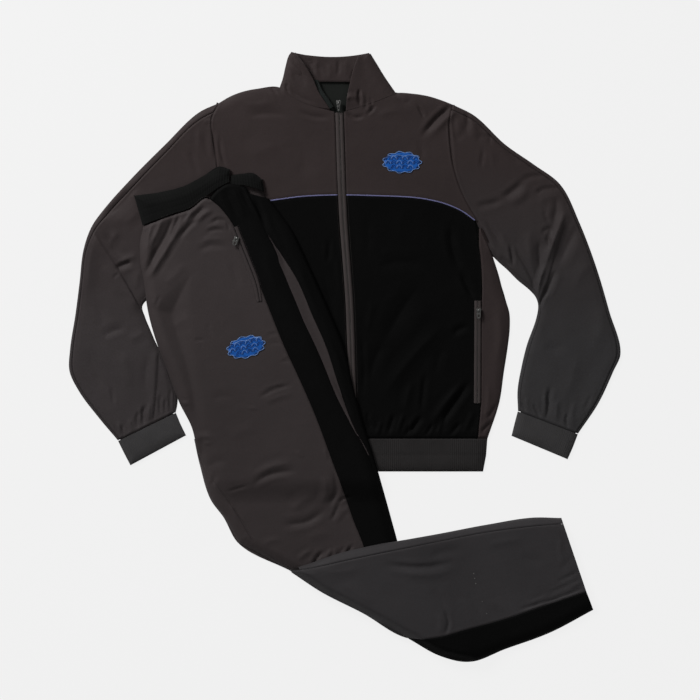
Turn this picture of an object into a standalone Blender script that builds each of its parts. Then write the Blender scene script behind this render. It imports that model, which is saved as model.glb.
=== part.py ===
"""Tracksuit laid flat: zipped jacket, face up, with folded trousers lying on it.

Metres, +Z up, collar towards +Y, floor at z = 0. Plan positions in the tables
are squares of a laying-out grid (GRID metres each, x to the right, y downwards
from the top edge of the layout); heights and walls are in metres.
"""

import math

import bmesh
import bpy
import numpy as np

# ---- driving dimensions ------------------------------------------------------
GRID = 0.0017            # one square of the laying-out grid
GRID_X0, GRID_Y0 = 345.0, 356.735   # grid point above the part's origin
WALL = 0.0015            # cloth wall
SEAM = 0.0003            # gap between sewn pieces, and between layers
BODY_PUFF = 0.0034       # how far the jacket's upper layer rises off the lower one
BODY_ROLL = 0.016        # width of the roll at the jacket's edges
LEG_EDGE = 0.0050        # height of the folded trousers at their outline
LEG_PUFF = 0.0062        # rise of the upper leg inside its outline
LEG_STEP = 0.0038        # extra rise of the leg that lies on top
LEG_ROLL = 0.020
TURN_PUFF = 0.0078       # rise of the turned-over lower leg
BRIDGE = 0.0092          # underside of the trousers where they lie on the jacket
TURN_LEVEL = 0.0162      # underside of the turned-over leg on the upper leg
LAYERS = 4               # cloth layers that show at the trousers' edges
CORD = 0.0007            # how far the piping stands out
RIB_WALL = 0.0020        # elastic bands are thicker

CHARCOAL = (0.032, 0.029, 0.028)
BLACK = (0.006, 0.006, 0.006)
RIB_GREY = (0.027, 0.024, 0.022)
RIB_BLACK = (0.008, 0.008, 0.008)
PIPING = (0.13, 0.13, 0.24)
TAPE = (0.045, 0.043, 0.042)
METAL = (0.17, 0.17, 0.17)
BLUE = (0.02, 0.16, 0.62)


def rows(columns, *values):
    """A short table: one dict of arrays, a named column each."""
    table = np.array(values, float)
    return {name: table[:, i] for i, name in enumerate(columns.split())}


# ---- tables ------------------------------------------------------------------
# Sleeves: a section for each row, from the armhole to the cuff.
# (ax, ay) lies on the outer edge and (bx, by) on the inner one; seam is the
# share of the section, from the outer edge, where the front piece begins.
SLEEVE_LEFT = rows(
    "ax ay bx by seam",
    (219, 103.5, 198, 256, 0.06),
    (199, 113, 192, 264, 0.065),
    (166, 144.5, 182, 272, 0.065),
    (133, 177.6, 170, 281, 0.07),
    (104, 210, 157, 292, 0.06),
    (92, 227, 142, 306, 0.05),
    (84, 250, 145, 318, 0.03),
    (80, 283, 150, 330, 0.03),
    (76, 314, 156, 344, 0.03),
    (70.5, 350, 161, 353, 0.03),
    (70, 371, 172, 374, 0.03),
    (80, 392, 177, 393, 0.03),
    (98, 416, 177, 404, 0.03),
    (118.4, 440.2, 175.3, 412.4, 0.03),
)
SLEEVE_RIGHT = rows(
    "ax ay bx by seam",
    (452.5, 105, 493, 256, 0.03),
    (474, 116, 499, 262, 0.03),
    (505, 145, 507, 269, 0.03),
    (533, 164.5, 518, 280, 0.03),
    (560, 185, 530, 290, 0.03),
    (579, 223, 536, 297, 0.03),
    (596, 268, 538.5, 305, 0.03),
    (609, 312, 537, 317, 0.03),
    (620, 354, 527, 346, 0.03),
    (613, 371, 521.5, 369, 0.03),
    (598, 403, 518, 390, 0.03),
    (577.5, 433.5, 518.4, 411, 0.03),
)
CUFF_LEFT = rows(
    "ax ay bx by",
    (118.7, 440.7, 175.4, 412.9), (124.5, 452.5, 180.2, 424.4), (131, 465, 185.6, 435.6),
)
CUFF_RIGHT = rows(
    "ax ay bx by",
    (577.3, 434, 518.2, 411.5), (572.5, 446.5, 515, 423.7), (567, 459, 512, 436),
)
# Armhole seams, from the shoulder to the underarm.
ARMHOLE_LEFT = rows(
    "x y",
    (219, 103.5), (211.5, 120), (213.5, 140), (217, 163), (217, 185),
    (213, 205), (208, 224), (203, 240), (198, 256),
)
ARMHOLE_RIGHT = rows(
    "x y",
    (452.5, 105), (449.5, 121), (450, 143), (453.5, 166), (461, 190),
    (470, 208), (479, 223), (486, 240), (493, 256),
)
# Upper fronts: a section for each row, (tx, ty) on the shoulder or neck seam,
# (bx, by) on the piping seam.
UPPER_LEFT = rows(
    "tx ty bx by",
    (219, 103.5, 208, 224), (230, 97, 228, 212), (243, 92, 248, 205), (258, 89, 267, 201.4),
    (278.5, 87.5, 286, 198.6), (292, 97, 300, 196.6), (306, 103.5, 313, 195.8),
    (320, 108.5, 325.5, 195.3), (334.8, 112.5, 337.9, 195),
)
UPPER_RIGHT = rows(
    "tx ty bx by",
    (343.8, 112.5, 346.5, 195), (355, 109, 362, 195.3), (367, 104.5, 379, 195.9), (382, 99, 397, 196.4),
    (396.7, 93.5, 413, 197.3), (412, 94, 429, 199.6), (428, 96.5, 445, 203.6),
    (441, 100.5, 462, 211), (452.5, 105, 477.4, 221.4),
)
# Lower fronts: (ax, ay) on the wearer's outer side or zip, (bx, by) opposite.
LOWER_LEFT = rows(
    "ax ay bx by",
    (208, 225, 338, 196.5), (203, 242, 338.8, 216), (199, 257, 341, 245), (199, 275, 343.2, 268),
    (198, 300, 345.3, 299), (202, 335, 346.8, 335), (206, 370, 348, 370), (213, 404, 349, 404),
    (221, 437, 350, 437),
)
LOWER_RIGHT = rows(
    "ax ay bx by",
    (346.7, 196.6, 478.7, 224.5), (347.9, 222, 478.5, 238), (350.8, 262, 481.5, 266),
    (352.4, 285, 482, 290), (353.7, 303, 481.5, 303), (355, 345, 481, 345),
    (355.8, 372, 481, 380), (356.9, 405, 480.7, 405), (357.8, 437.5, 477.6, 437),
)
SIDE_RIGHT = rows(
    "ax ay bx by",
    (480.5, 228.5, 492.5, 257), (480.5, 252, 498, 274), (482.2, 290, 502.5, 291), (482, 303, 506.5, 304),
    (481.7, 313, 509, 313), (481.5, 328, 509.4, 328), (481.4, 345, 507.5, 346),
    (481.4, 375, 503.5, 372), (481, 405, 499, 402), (478, 437, 487.2, 438.2),
)
PIPING_LEFT = rows("x y", (209, 224.6), (228, 212.4), (248, 205.2), (267, 201.4), (286, 198.6),
                   (300, 196.8), (313, 195.9), (325.5, 195.4), (337.6, 195.2))
PIPING_RIGHT = rows("x y", (346.7, 195.2), (362, 195.5), (379, 196), (397, 196.6), (413, 197.6),
                    (429, 199.9), (445, 203.9), (462, 211.3), (475, 220.6))
PIPING_HALF = 1.0        # half the piping's width, in grid squares
ZIP_FRONT = rows(
    "ax ay bx by",
    (335.2, 113, 343.4, 113), (337.8, 189, 346, 189), (339.5, 222, 347.6, 222), (342.8, 264, 350.6, 264),
    (345.3, 299, 353.2, 299), (346.8, 335, 354.7, 335), (348, 369, 355.6, 369), (349, 404, 356.6, 404),
    (350.2, 437, 357.6, 437), (351.5, 471, 359, 471),
)
ZIP_OPEN = rows("ax ay bx by", (313.6, 80, 317.5, 79), (319.1, 92.5, 322.6, 91),
                (323.8, 99.4, 327.3, 97.6), (330.2, 109, 333.3, 106.8))
HEM = rows("zip_l zip_r left right y",
           (350.1, 358.1, 222.5, 486.8, 438.6), (350.7, 358.8, 228, 485.6, 455), (351.3, 359.5, 233, 482.5, 471.5))
# The back and the collar.
BACK = rows(
    "ax ay bx by",
    (219.8, 104.2, 452, 105.6), (211.9, 121, 449.2, 121.5), (213.9, 141, 449.8, 143), (217.4, 163, 453.2, 166),
    (217.3, 185, 460.6, 190), (213.3, 205, 469.6, 208), (208.3, 224, 478.6, 223),
    (203.3, 240, 485.6, 240), (198.3, 256, 492.6, 256), (198, 275, 498, 275), (198, 303, 506.3, 303),
    (202, 335, 508.8, 335), (206, 371, 503.6, 371), (213, 404, 498.8, 404), (222, 437.6, 487, 437.6),
)
BACK_RISE = 15.5         # how far the back's neck edge rises above its shoulder points
COLLAR_BACK = rows(
    "ax ay bx by bow",
    (291.8, 52.5, 369.2, 53.4, 4.6), (289, 61, 374, 61, 3), (286, 71, 380, 71, 1.5), (281.5, 90.4, 392.5, 91.4, -2.2),
)
COLLAR_LEFT = rows(
    "ax ay bx by bow",
    (280, 87.8, 329.5, 109, -4), (283, 79, 318.5, 92.5, -2), (286, 66, 313, 80, 0),
    (289, 56, 304.5, 65.5, 0), (291.5, 52.5, 295, 54, 0),
)
COLLAR_RIGHT = rows(
    "ax ay bx by bow",
    (346.5, 110.8, 395.8, 93.6, -1.5), (347.5, 97, 391.5, 87.5, 0), (350.3, 84, 384, 76.5, 0),
    (354, 69, 377, 65, 0), (358, 57.5, 370.5, 54.4, 0),
)
# Trousers. A row for each section of the upper leg, from waist to knee:
# l outline, j inseam, g edge of the side stripe, s edge of the leg on top,
# r outline of the leg beneath.
LEG = rows(
    "lx ly jx jy gx gy sx sy rx ry",
    (144.2, 226.8, 144.2, 226.8, 210, 199.5, 246, 187.8, 264.8, 194),
    (140.8, 243, 140.8, 243, 220, 207.5, 255, 205, 275, 208),
    (141.2, 262, 141.2, 262, 234, 226, 267, 232, 291, 231),
    (144.5, 280, 144.5, 280, 243, 244.5, 277, 252, 301, 251),
    (149, 312, 149, 312, 254.5, 271.5, 288.5, 281, 314, 279),
    (158, 344, 158, 344, 267.5, 304, 302.5, 315, 330, 315),
    (168.5, 371, 168.5, 371, 284, 345, 317.5, 348, 343.5, 348),
    (180, 402, 180, 402, 302, 384, 334, 388, 353, 388),
    (191.5, 426, 192.2, 426, 317, 419, 351.5, 424, 362.5, 424),
    (200, 463, 202.2, 463, 331, 457, 369, 455, 372.6, 455),
    (211, 499, 222, 492, 346, 498, 383, 498, 385, 498),
    (224, 517, 236, 511, 354, 521, 389.5, 521, 391.3, 521),
    (239, 543, 254, 541, 362, 541, 395, 541, 396.8, 541),
)
# The upper leg goes on beneath the turned-over leg to the fold at the knee.
KNEE = rows("lx ly gx gy rx ry", (290, 570, 372, 573, 410, 580), (361, 611, 402, 614, 428, 618),
            (420, 644, 435, 648, 442, 650))
# Seams of the waistband's lower edge: over the front panel, then over the stripe.
WAIST_SEAM = rows("x y", (144.2, 226.8), (172.4, 215.9), (191.5, 209.3), (205.8, 198.8), (210, 199.5))
GATHER_SEAM = rows("x y", (210, 199.5), (217.8, 190.4), (230.2, 184.2), (246, 187.8))
# Turned-over lower leg, from the knee to the hem: t upper edge, i inseam,
# g edge of the side stripe, b lower edge.
TURN = rows(
    "tx ty ix iy gx gy bx by",
    (290.5, 569.5, 290.9, 570.2, 291.8, 571.6, 292.5, 572.6),
    (311, 563, 313, 567, 322, 591.5, 322.5, 592.5),
    (340, 553, 342.5, 560.5, 362, 611.8, 362.4, 612.8),
    (375, 545, 377.5, 553, 408, 637.4, 409, 638),
    (410, 539, 412.5, 546, 437, 636, 440, 655),
    (444, 533.2, 446, 539.5, 463, 629.3, 469, 661),
    (488, 525, 489.5, 531.5, 501, 619.5, 505, 648.5),
    (532, 518.2, 533, 526, 546, 604.5, 550, 632),
    (561, 518.5, 562.5, 523.5, 585.5, 591.4, 592.6, 609.5),
)
WAIST_FRONT = rows(
    "tx ty bx by",
    (135.3, 196.5, 143.6, 225.6), (160, 193, 172, 215), (184, 187, 191, 208.4), (205, 176, 205.5, 197.6),
    (219, 167.5, 217, 189.5), (230, 170, 229.5, 182.5),
)
WAIST_BEHIND = rows("tx ty bx by", (231.3, 176, 231, 186), (243, 174.5, 244.5, 186),
                    (254, 174.2, 256, 189), (262, 180.5, 264, 192))
POCKET_LEG = rows("ax ay bx by", (230.5, 229, 238, 226.5), (236.5, 243, 243.5, 240.5),
                  (244.5, 262, 251, 259.5), (253.5, 286, 260, 284), (257.5, 302, 262.5, 301))
POCKET_BODY = rows("ax ay bx by", (474.3, 300.8, 481, 300.8), (474.2, 335, 480.9, 335),
                   (474, 370, 480.7, 370), (473.8, 403.2, 480.5, 403.2))
# Largest folds: from (x0, y0) to (x1, y1), half width in squares, height in metres.
FOLDS = rows(
    "x0 y0 x1 y1 half height",
    (97, 240, 138, 306, 9, 0.0042),
    (84, 226, 128, 292, 8, -0.0012),
    (566, 204, 543, 282, 9, 0.0026),
    (450, 108, 420, 137, 6, 0.0016),
    (474, 205, 535, 178, 7, 0.0018),
    (104, 400, 150, 380, 8, 0.0015),
    (560, 395, 530, 380, 8, 0.0015),
)
LEG_FOLDS = rows(
    "x0 y0 x1 y1 half height",
    (175, 226, 150, 275, 6, 0.0022),
    (190, 232, 170, 285, 6, 0.0016),
    (255, 478, 300, 470, 8, 0.0018),
)


# ---- plan and height rules ---------------------------------------------------
def smooth(t):
    t = np.clip(t, 0.0, 1.0)
    return t * t * (3 - 2 * t)


def roll(depth, width):
    """0 at an edge, rising to 1 over the width of the edge's roll."""
    t = np.clip(depth / width, 0.0, 1.0)
    return 1 - (1 - t) ** 2


def edge(table, x, y):
    return np.stack([table[x], table[y]], axis=1)


def inside_depth(points, outline):
    """Distance in metres from the outline: positive inside it, negative outside."""
    p = points.reshape(-1, 2)
    a, b = outline, np.roll(outline, -1, axis=0)
    best = np.full(len(p), 1e9)
    inside = np.zeros(len(p), bool)
    for (ax, ay), (bx, by) in zip(a, b):
        dx, dy = bx - ax, by - ay
        t = np.clip(((p[:, 0] - ax) * dx + (p[:, 1] - ay) * dy) / (dx * dx + dy * dy + 1e-12), 0, 1)
        best = np.minimum(best, np.hypot(p[:, 0] - ax - t * dx, p[:, 1] - ay - t * dy))
        if ay != by:
            cross = (p[:, 1] > min(ay, by)) & (p[:, 1] <= max(ay, by))
            inside ^= cross & (p[:, 0] < ax + (p[:, 1] - ay) / (by - ay) * dx)
    return (np.where(inside, best, -best) * GRID).reshape(points.shape[:-1])


def line_distance(points, line):
    """Distance in metres from an open line of plan points."""
    best = np.full(points.shape[:-1], 1e9)
    for (ax, ay), (bx, by) in zip(line[:-1], line[1:]):
        dx, dy = bx - ax, by - ay
        t = np.clip(((points[..., 0] - ax) * dx + (points[..., 1] - ay) * dy) / (dx * dx + dy * dy), 0, 1)
        best = np.minimum(best, np.hypot(points[..., 0] - ax - t * dx, points[..., 1] - ay - t * dy))
    return best * GRID


def folds_at(points, table):
    """Sum of the soft ridges and troughs at plan points, in metres."""
    total = np.zeros(points.shape[:-1])
    for x0, y0, x1, y1, half, height in zip(*table.values()):
        dx, dy = x1 - x0, y1 - y0
        length = math.hypot(dx, dy)
        along = ((points[..., 0] - x0) * dx + (points[..., 1] - y0) * dy) / length
        across = ((points[..., 0] - x0) * dy - (points[..., 1] - y0) * dx) / length
        fade = smooth((along + half) / (2 * half)) * smooth((length - along + half) / (2 * half))
        total += height * fade * np.exp(-((across / half) ** 2) * 2)
    return total


def closed(*parts):
    return np.concatenate(parts)


JACKET_OUTLINE = closed(
    edge(COLLAR_LEFT, "ax", "ay"), edge(COLLAR_BACK, "bx", "by"), edge(UPPER_RIGHT, "tx", "ty")[4:],
    edge(SLEEVE_RIGHT, "ax", "ay")[1:], edge(CUFF_RIGHT, "ax", "ay"), edge(CUFF_RIGHT, "bx", "by")[::-1],
    edge(SLEEVE_RIGHT, "bx", "by")[::-1], edge(SIDE_RIGHT, "bx", "by")[1:], edge(HEM, "right", "y"),
    edge(HEM, "left", "y")[::-1], edge(LOWER_LEFT, "ax", "ay")[::-1][:7], edge(SLEEVE_LEFT, "bx", "by"),
    edge(CUFF_LEFT, "bx", "by"), edge(CUFF_LEFT, "ax", "ay")[::-1], edge(SLEEVE_LEFT, "ax", "ay")[::-1],
    edge(UPPER_LEFT, "tx", "ty")[1:4],
)
LEG_OUTLINE = closed(
    edge(WAIST_FRONT, "tx", "ty"), edge(WAIST_BEHIND, "tx", "ty"), edge(LEG, "rx", "ry"),
    edge(KNEE, "rx", "ry"), edge(KNEE, "lx", "ly")[::-1], edge(LEG, "lx", "ly")[::-1],
)
TOP_LEG_OUTLINE = closed(
    edge(WAIST_FRONT, "tx", "ty"), edge(LEG, "sx", "sy"), edge(KNEE, "rx", "ry"),
    edge(KNEE, "lx", "ly")[::-1], edge(LEG, "lx", "ly")[::-1],
)
# The hem is an open edge, so the roll's outline runs on past it.
TURN_OUTLINE = closed(edge(TURN, "tx", "ty"), np.array([[585.0, 514.0], [620.0, 604.0]]), edge(TURN, "bx", "by")[::-1])
KNEE_FOLD = closed(edge(LEG, "lx", "ly")[-1:], edge(TURN, "bx", "by")[:6])


def jacket_top(points):
    """Height of the jacket's upper face."""
    depth = inside_depth(points, JACKET_OUTLINE)
    clear = smooth(-inside_depth(points, LEG_OUTLINE) / 0.020)
    return 2 * WALL + SEAM + BODY_PUFF * roll(depth, BODY_ROLL) + clear * folds_at(points, FOLDS)


def leg_under(points):
    """Underside of the trousers: on the jacket, or down on the floor beyond it."""
    return BRIDGE * smooth((inside_depth(points, JACKET_OUTLINE) + 0.055) / 0.045)


def leg_top(points, on_top):
    height = leg_under(points) + LEG_EDGE + LEG_PUFF * roll(inside_depth(points, LEG_OUTLINE), LEG_ROLL)
    if on_top:
        height += LEG_STEP * roll(inside_depth(points, TOP_LEG_OUTLINE), LEG_ROLL)
        height += folds_at(points, LEG_FOLDS)
    return height


def turn_under(points):
    """Underside of the turned-over leg: on the upper leg, then down to the floor, and lower at the fold."""
    level = TURN_LEVEL * smooth((inside_depth(points, LEG_OUTLINE) + 0.034) / 0.030)
    return level * (0.5 + 0.5 * smooth(line_distance(points, KNEE_FOLD) / 0.015))


def turn_top(points):
    return turn_under(points) + LEG_EDGE + TURN_PUFF * roll(inside_depth(points, TURN_OUTLINE), LEG_ROLL)


# ---- making pieces -----------------------------------------------------------
parts = None


def start():
    global parts
    for old in list(bpy.data.objects):
        bpy.data.objects.remove(old, do_unlink=True)
    parts = bpy.data.collections.new("tracksuit")
    bpy.context.scene.collection.children.link(parts)
    helpers = bpy.data.collections.new("cutters")
    bpy.context.scene.collection.children.link(helpers)
    return helpers


def paint(name, colour, roughness, metallic=0.0):
    material = bpy.data.materials.new(name)
    material.use_nodes = True
    shader = material.node_tree.nodes["Principled BSDF"]
    shader.inputs["Base Color"].default_value = (*colour, 1)
    shader.inputs["Roughness"].default_value = roughness
    shader.inputs["Metallic"].default_value = metallic
    return material


def to_metres(points, height):
    x = (points[..., 0] - GRID_X0) * GRID
    y = (GRID_Y0 - points[..., 1]) * GRID
    return np.stack([x, y, height], axis=-1)


def new_object(name, bm, material, location=None):
    mesh = bpy.data.meshes.new(name)
    bm.to_mesh(mesh)
    bm.free()
    mesh.materials.append(material)
    obj = bpy.data.objects.new(name, mesh)
    parts.objects.link(obj)
    if location is not None:
        obj.location = location
    mesh.shade_smooth()
    mesh.set_sharp_from_angle(angle=math.radians(40))
    return obj


def skin(bm, grid, turned, around):
    """Faces between the sections, with the same diagonal whichever way they face."""
    made = [[bm.verts.new(tuple(p)) for p in section] for section in grid]
    count = len(made[0])
    for a, b in zip(made[:-1], made[1:]):
        for j in range(count if around else count - 1):
            k = (j + 1) % count
            for corners in ((a[j], a[k], b[k]), (a[j], b[k], b[j])):
                bm.faces.new(corners[::-1] if turned else corners)
    return made


def surface(name, grid, material, wall, turned=False, around=False):
    """An open surface through the grid's sections, thickened away from its face."""
    bm = bmesh.new()
    skin(bm, grid, turned, around)
    obj = new_object(name, bm, material)
    thick = obj.modifiers.new("wall", "SOLIDIFY")
    thick.thickness = wall
    thick.offset = -1.0
    return obj


def across(a, b, shares, bow=None):
    """Plan points across each section from edge a to edge b."""
    shares = np.asarray(shares)[None, :, None]
    grid = a[:, None, :] * (1 - shares) + b[:, None, :] * shares
    if bow is not None:
        side = b - a
        length = np.linalg.norm(side, axis=1, keepdims=True) + 1e-9
        normal = np.stack([-side[:, 1], side[:, 0]], axis=1) / length
        grid = grid + normal[:, None, :] * (4 * shares * (1 - shares)) * bow[:, None, None]
    return grid


def bend(grid, curve, fade, shares, last=False):
    """Gives the first (or last) sections the curve's shape, fading over the next ones."""
    step = np.r_[0, np.cumsum(np.hypot(*np.diff(curve, axis=0).T))]
    target = np.stack([np.interp(np.asarray(shares) * step[-1], step, curve[:, i]) for i in (0, 1)], axis=1)
    ends = -1 if last else 0
    offset = target - grid[ends]
    for k, share in enumerate(fade):
        grid[-1 - k if last else k] += offset * share
    return grid


def trim(grid, side_a=0.0, side_b=0.0, first=0.0, last=0.0):
    """Draws the grid's edges in by these many metres, for seams."""
    grid = grid.copy()

    def pull(edge_points, inner, by):
        run = np.gradient(edge_points, axis=0)
        normal = np.stack([-run[:, 1], run[:, 0]], axis=1)
        normal /= np.linalg.norm(normal, axis=1, keepdims=True) + 1e-9
        normal *= np.sign(np.sum(normal * (inner - edge_points)))
        return edge_points + normal * (by / GRID)

    if side_a:
        grid[:, 0] = pull(grid[:, 0], grid[:, 1], side_a)
    if side_b:
        grid[:, -1] = pull(grid[:, -1], grid[:, -2], side_b)
    if first:
        grid[0] = pull(grid[0], grid[1], first)
    if last:
        grid[-1] = pull(grid[-1], grid[-2], last)
    return grid


def looks_down(grid):
    """Whether the surface through the sections has its face down."""
    a, b, c = grid[0, 0], grid[0, -1], grid[-1, 0]
    return (b[0] - a[0]) * (c[1] - a[1]) - (b[1] - a[1]) * (c[0] - a[0]) < 0


def fractions(curve):
    """Where a curve's points lie along it, as shares of its length."""
    step = np.r_[0, np.cumsum(np.hypot(*np.diff(curve, axis=0).T))]
    return step / step[-1]


def panel(name, plan, height, material, wall=WALL):
    grid = to_metres(plan, height(plan) if callable(height) else np.full(plan.shape[:-1], height))
    return surface(name, grid, material, wall, looks_down(grid))


HALF = SEAM / 2
EDGE_SHARES = np.array([0.0, 0.035, 0.10, 0.22, 0.36, 0.5, 0.64, 0.78, 0.90, 0.965, 1.0])


def sleeve(side, table, armhole, colour):
    """A flattened tube of two pieces: the front, and the back with both edges."""
    a, b = edge(table, "ax", "ay"), edge(table, "bx", "by")
    knots = fractions(armhole)
    shares = np.unique(np.r_[knots, 0.03, 0.965])
    plan = bend(across(a, b, shares), armhole, (1.0, 0.6, 0.3, 0.12), shares)
    plan = trim(plan, first=SEAM, last=SEAM)
    fronts, backs = [], []
    for k, section in enumerate(plan):
        width = np.linalg.norm(b[k] - a[k]) * GRID
        seam, far, gap = table["seam"][k], 0.965, SEAM * 3.4 / width

        def on(where):
            return np.stack([np.interp(where, shares, section[:, i]) for i in (0, 1)], axis=1)

        top = on(np.r_[seam + gap, knots[1:-1], far - gap])
        fronts.append(to_metres(top, jacket_top(top)))
        lip = on(np.array([seam - gap, 0.0]))
        below = on(knots)
        rim = on(np.array([1.0, far + gap]))
        backs.append(np.concatenate([
            to_metres(lip, jacket_top(lip)), to_metres(below, np.zeros(len(below))),
            to_metres(rim, jacket_top(rim)),
        ]))
    fronts, backs = np.array(fronts), np.array(backs)
    surface(f"sleeve_{side}_front", fronts, colour, WALL, looks_down(fronts))
    # The back's outer face looks down where it lies and out at its edges.
    surface(f"sleeve_{side}_back", backs, colour, WALL, not looks_down(backs[:, 2:2 + len(knots)]))


def cuff(side, table, colour):
    """A flattened elastic tube."""
    a, b = edge(table, "ax", "ay"), edge(table, "bx", "by")
    shares = np.array([0.0, 0.08, 0.25, 0.5, 0.75, 0.92, 1.0])
    plan = across(a, b, shares)
    rings = []
    for section in plan:
        top = to_metres(section, jacket_top(section) + 0.0008)
        low = to_metres(section[::-1], np.zeros(len(section)))
        rings.append(np.concatenate([top, low]))
    rings = np.array(rings)
    surface(f"cuff_{side}", rings, colour, WALL, looks_down(rings[:, :len(shares)]), around=True)


def hem_band(colour):
    """One strip round the hem, open at the zip."""
    sections = []
    for zl, zr, left, right, y in zip(*HEM.values()):
        gap = SEAM / GRID
        fr = np.stack([zr + gap + (right - zr - gap) * np.array([0, .2, .4, .6, .78, .9, .97, 1]), np.full(8, y)], 1)
        fl = np.stack([left + (zl - gap - left) * np.array([0, .04, .12, .3, .5, .75, 1]), np.full(7, y)], 1)
        lower = np.stack([np.linspace(right, left, 5), np.full(5, y)], 1)
        sections.append(np.concatenate([
            to_metres(fr, jacket_top(fr) + 0.0004), to_metres(lower, np.zeros(5)),
            to_metres(fl, jacket_top(fl) + 0.0004),
        ]))
    grid = np.array(sections)
    surface("hem_band", grid, colour, WALL, looks_down(grid[:, :8]))


def strip(name, line, half, height, material, wall):
    """A narrow strip centred on a line of the layout."""
    run = np.gradient(line, axis=0)
    normal = np.stack([-run[:, 1], run[:, 0]], axis=1) / np.linalg.norm(run, axis=1, keepdims=True)
    plan = np.stack([line - normal * half, line + normal * half], axis=1)
    return panel(name, plan, height, material, wall)


def layered_solid(name, plan, top, bottom, material, groove=0.0012):
    """Hidden layers of folded cloth as one solid: grooves part the layers at the edges."""
    high, low = top(plan), bottom(plan)
    rings = []
    for section, z1, z0 in zip(plan, high, low):
        out_a = (section[0] - section[1]) / np.linalg.norm(section[0] - section[1])
        out_b = (section[-1] - section[-2]) / np.linalg.norm(section[-1] - section[-2])
        ring = [to_metres(section, z1)]
        for corner, out, za, zb in ((section[-1], out_b, z1[-1], z0[-1]), (section[0], out_a, z0[0], z1[0])):
            steps = np.arange(1, 2 * LAYERS - 2)
            share = (steps / (2 * LAYERS - 2))
            push = np.where(steps % 2 == 1, -groove, 0.0) / GRID
            side = corner + out * push[:, None]
            ring.append(to_metres(side, za + (zb - za) * share))
            if out is out_b:
                ring.append(to_metres(section[::-1], z0[::-1]))
        rings.append(np.concatenate(ring))
    grid = np.array(rings)
    turned = looks_down(grid[:, :plan.shape[1]])
    bm = bmesh.new()
    made = skin(bm, grid, turned, around=True)
    bm.faces.new(made[0] if turned else made[0][::-1])
    bm.faces.new(made[-1][::-1] if turned else made[-1])
    if bm.calc_volume(signed=True) < 0:
        bmesh.ops.reverse_faces(bm, faces=bm.faces)
    return new_object(name, bm, material)


def emblem(name, centre, half_long, half_short, tilt, height, material):
    """An embroidered patch with a scalloped outline, on the cloth below it."""
    rings = []
    angles = np.linspace(0, 2 * math.pi, 45)[:-1]
    turn = math.radians(tilt)
    for share in (1.0, 0.55, 0.1):
        reach = share * (1 + 0.07 * np.cos(11 * angles) * (share == 1.0))
        u, v = reach * half_long * np.cos(angles), -reach * half_short * np.sin(angles)
        plan = np.stack([centre[0] + u * math.cos(turn) + v * math.sin(turn),
                         centre[1] - u * math.sin(turn) + v * math.cos(turn)], axis=1)
        rings.append(to_metres(plan, height(plan) + 0.0013))
    bm = bmesh.new()
    made = [[bm.verts.new(tuple(p)) for p in ring] for ring in rings]
    count = len(angles)
    for i in range(2):
        for j in range(count):
            k = (j + 1) % count
            bm.faces.new((made[i][j], made[i][k], made[i + 1][k], made[i + 1][j]))
    bm.faces.new(made[2])
    obj = new_object(name, bm, material)
    thick = obj.modifiers.new("wall", "SOLIDIFY")
    thick.thickness = 0.0008
    thick.offset = -1.0
    return obj


# Zip hardware. Lengths along the zip, pull end towards -Y before it is turned.
def box(bm, size, centre):
    made = bmesh.ops.create_cube(bm, size=1.0)["verts"]
    for v in made:
        v.co = (v.co[0] * size[0] + centre[0], v.co[1] * size[1] + centre[1], v.co[2] * size[2] + centre[2])
    return made


def helper_box(name, size, centre, helpers):
    bm = bmesh.new()
    box(bm, size, centre)
    mesh = bpy.data.meshes.new(name)
    bm.to_mesh(mesh)
    bm.free()
    obj = bpy.data.objects.new(name, mesh)
    helpers.objects.link(obj)
    obj.hide_render = True
    obj.display_type = "WIRE"
    return obj


def slider(name, place, turn, width, length, helpers, material):
    """Slider body with a narrow bridge that holds the pull tab's bar."""
    body_height = 0.0022
    bm = bmesh.new()
    box(bm, (width, length, body_height), (0, 0, body_height / 2))
    corners = [e for e in bm.edges if abs((e.verts[0].co - e.verts[1].co).z) > 1e-5]
    bmesh.ops.bevel(bm, geom=corners, offset=width * 0.22, segments=2, affect="EDGES")
    obj = new_object(name, bm, material, place)
    obj.rotation_euler = (0, 0, turn)
    z = body_height
    pieces = (
        ("foot_front", (0.0020, 0.0010, 0.0022), (0, 0.0021, z + 0.0010)),
        ("foot_back", (0.0020, 0.0010, 0.0022), (0, -0.0021, z + 0.0010)),
        ("bridge", (0.0020, 0.0042, 0.0007), (0, 0, z + 0.00215)),
    )
    for label, size, centre in pieces:
        part = helper_box(f"{name}_{label}", size, centre, helpers)
        part.parent = obj
        join = obj.modifiers.new(label, "BOOLEAN")
        join.operation = "UNION"
        join.object = part
    return obj


def pull_tab(name, place, turn, length, width, tip, material, helpers):
    """Flat tab; the origin is on its bar, and the joint's axis lies along the bar."""
    thick = 0.0011
    outline = [(-0.5, 0.00055), (0.5, 0.00055), (0.5, -0.35), (tip, -0.9), (tip * 0.6, -1.0), (-tip * 0.6, -1.0), (-tip, -0.9), (-0.5, -0.35)]
    bm = bmesh.new()
    corners = []
    for x, y in outline:
        corners.append(bm.verts.new((x * width, y if y > 0 else y * length, -thick / 2)))
    face = bm.faces.new(corners)
    made = bmesh.ops.extrude_face_region(bm, geom=[face])["geom"]
    bmesh.ops.translate(bm, verts=[g for g in made if isinstance(g, bmesh.types.BMVert)], vec=(0, 0, thick))
    bmesh.ops.recalc_face_normals(bm, faces=bm.faces)
    obj = new_object(name, bm, material, place)
    obj.rotation_euler = (0, 0, turn)
    hole = helper_box(f"{name}_eye", (0.0030, 0.0032, 0.004), (0, -0.00055 - 0.0016, 0), helpers)
    hole.parent = obj
    cut = obj.modifiers.new("eye", "BOOLEAN")
    cut.operation = "DIFFERENCE"
    cut.object = hole
    return obj


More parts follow.
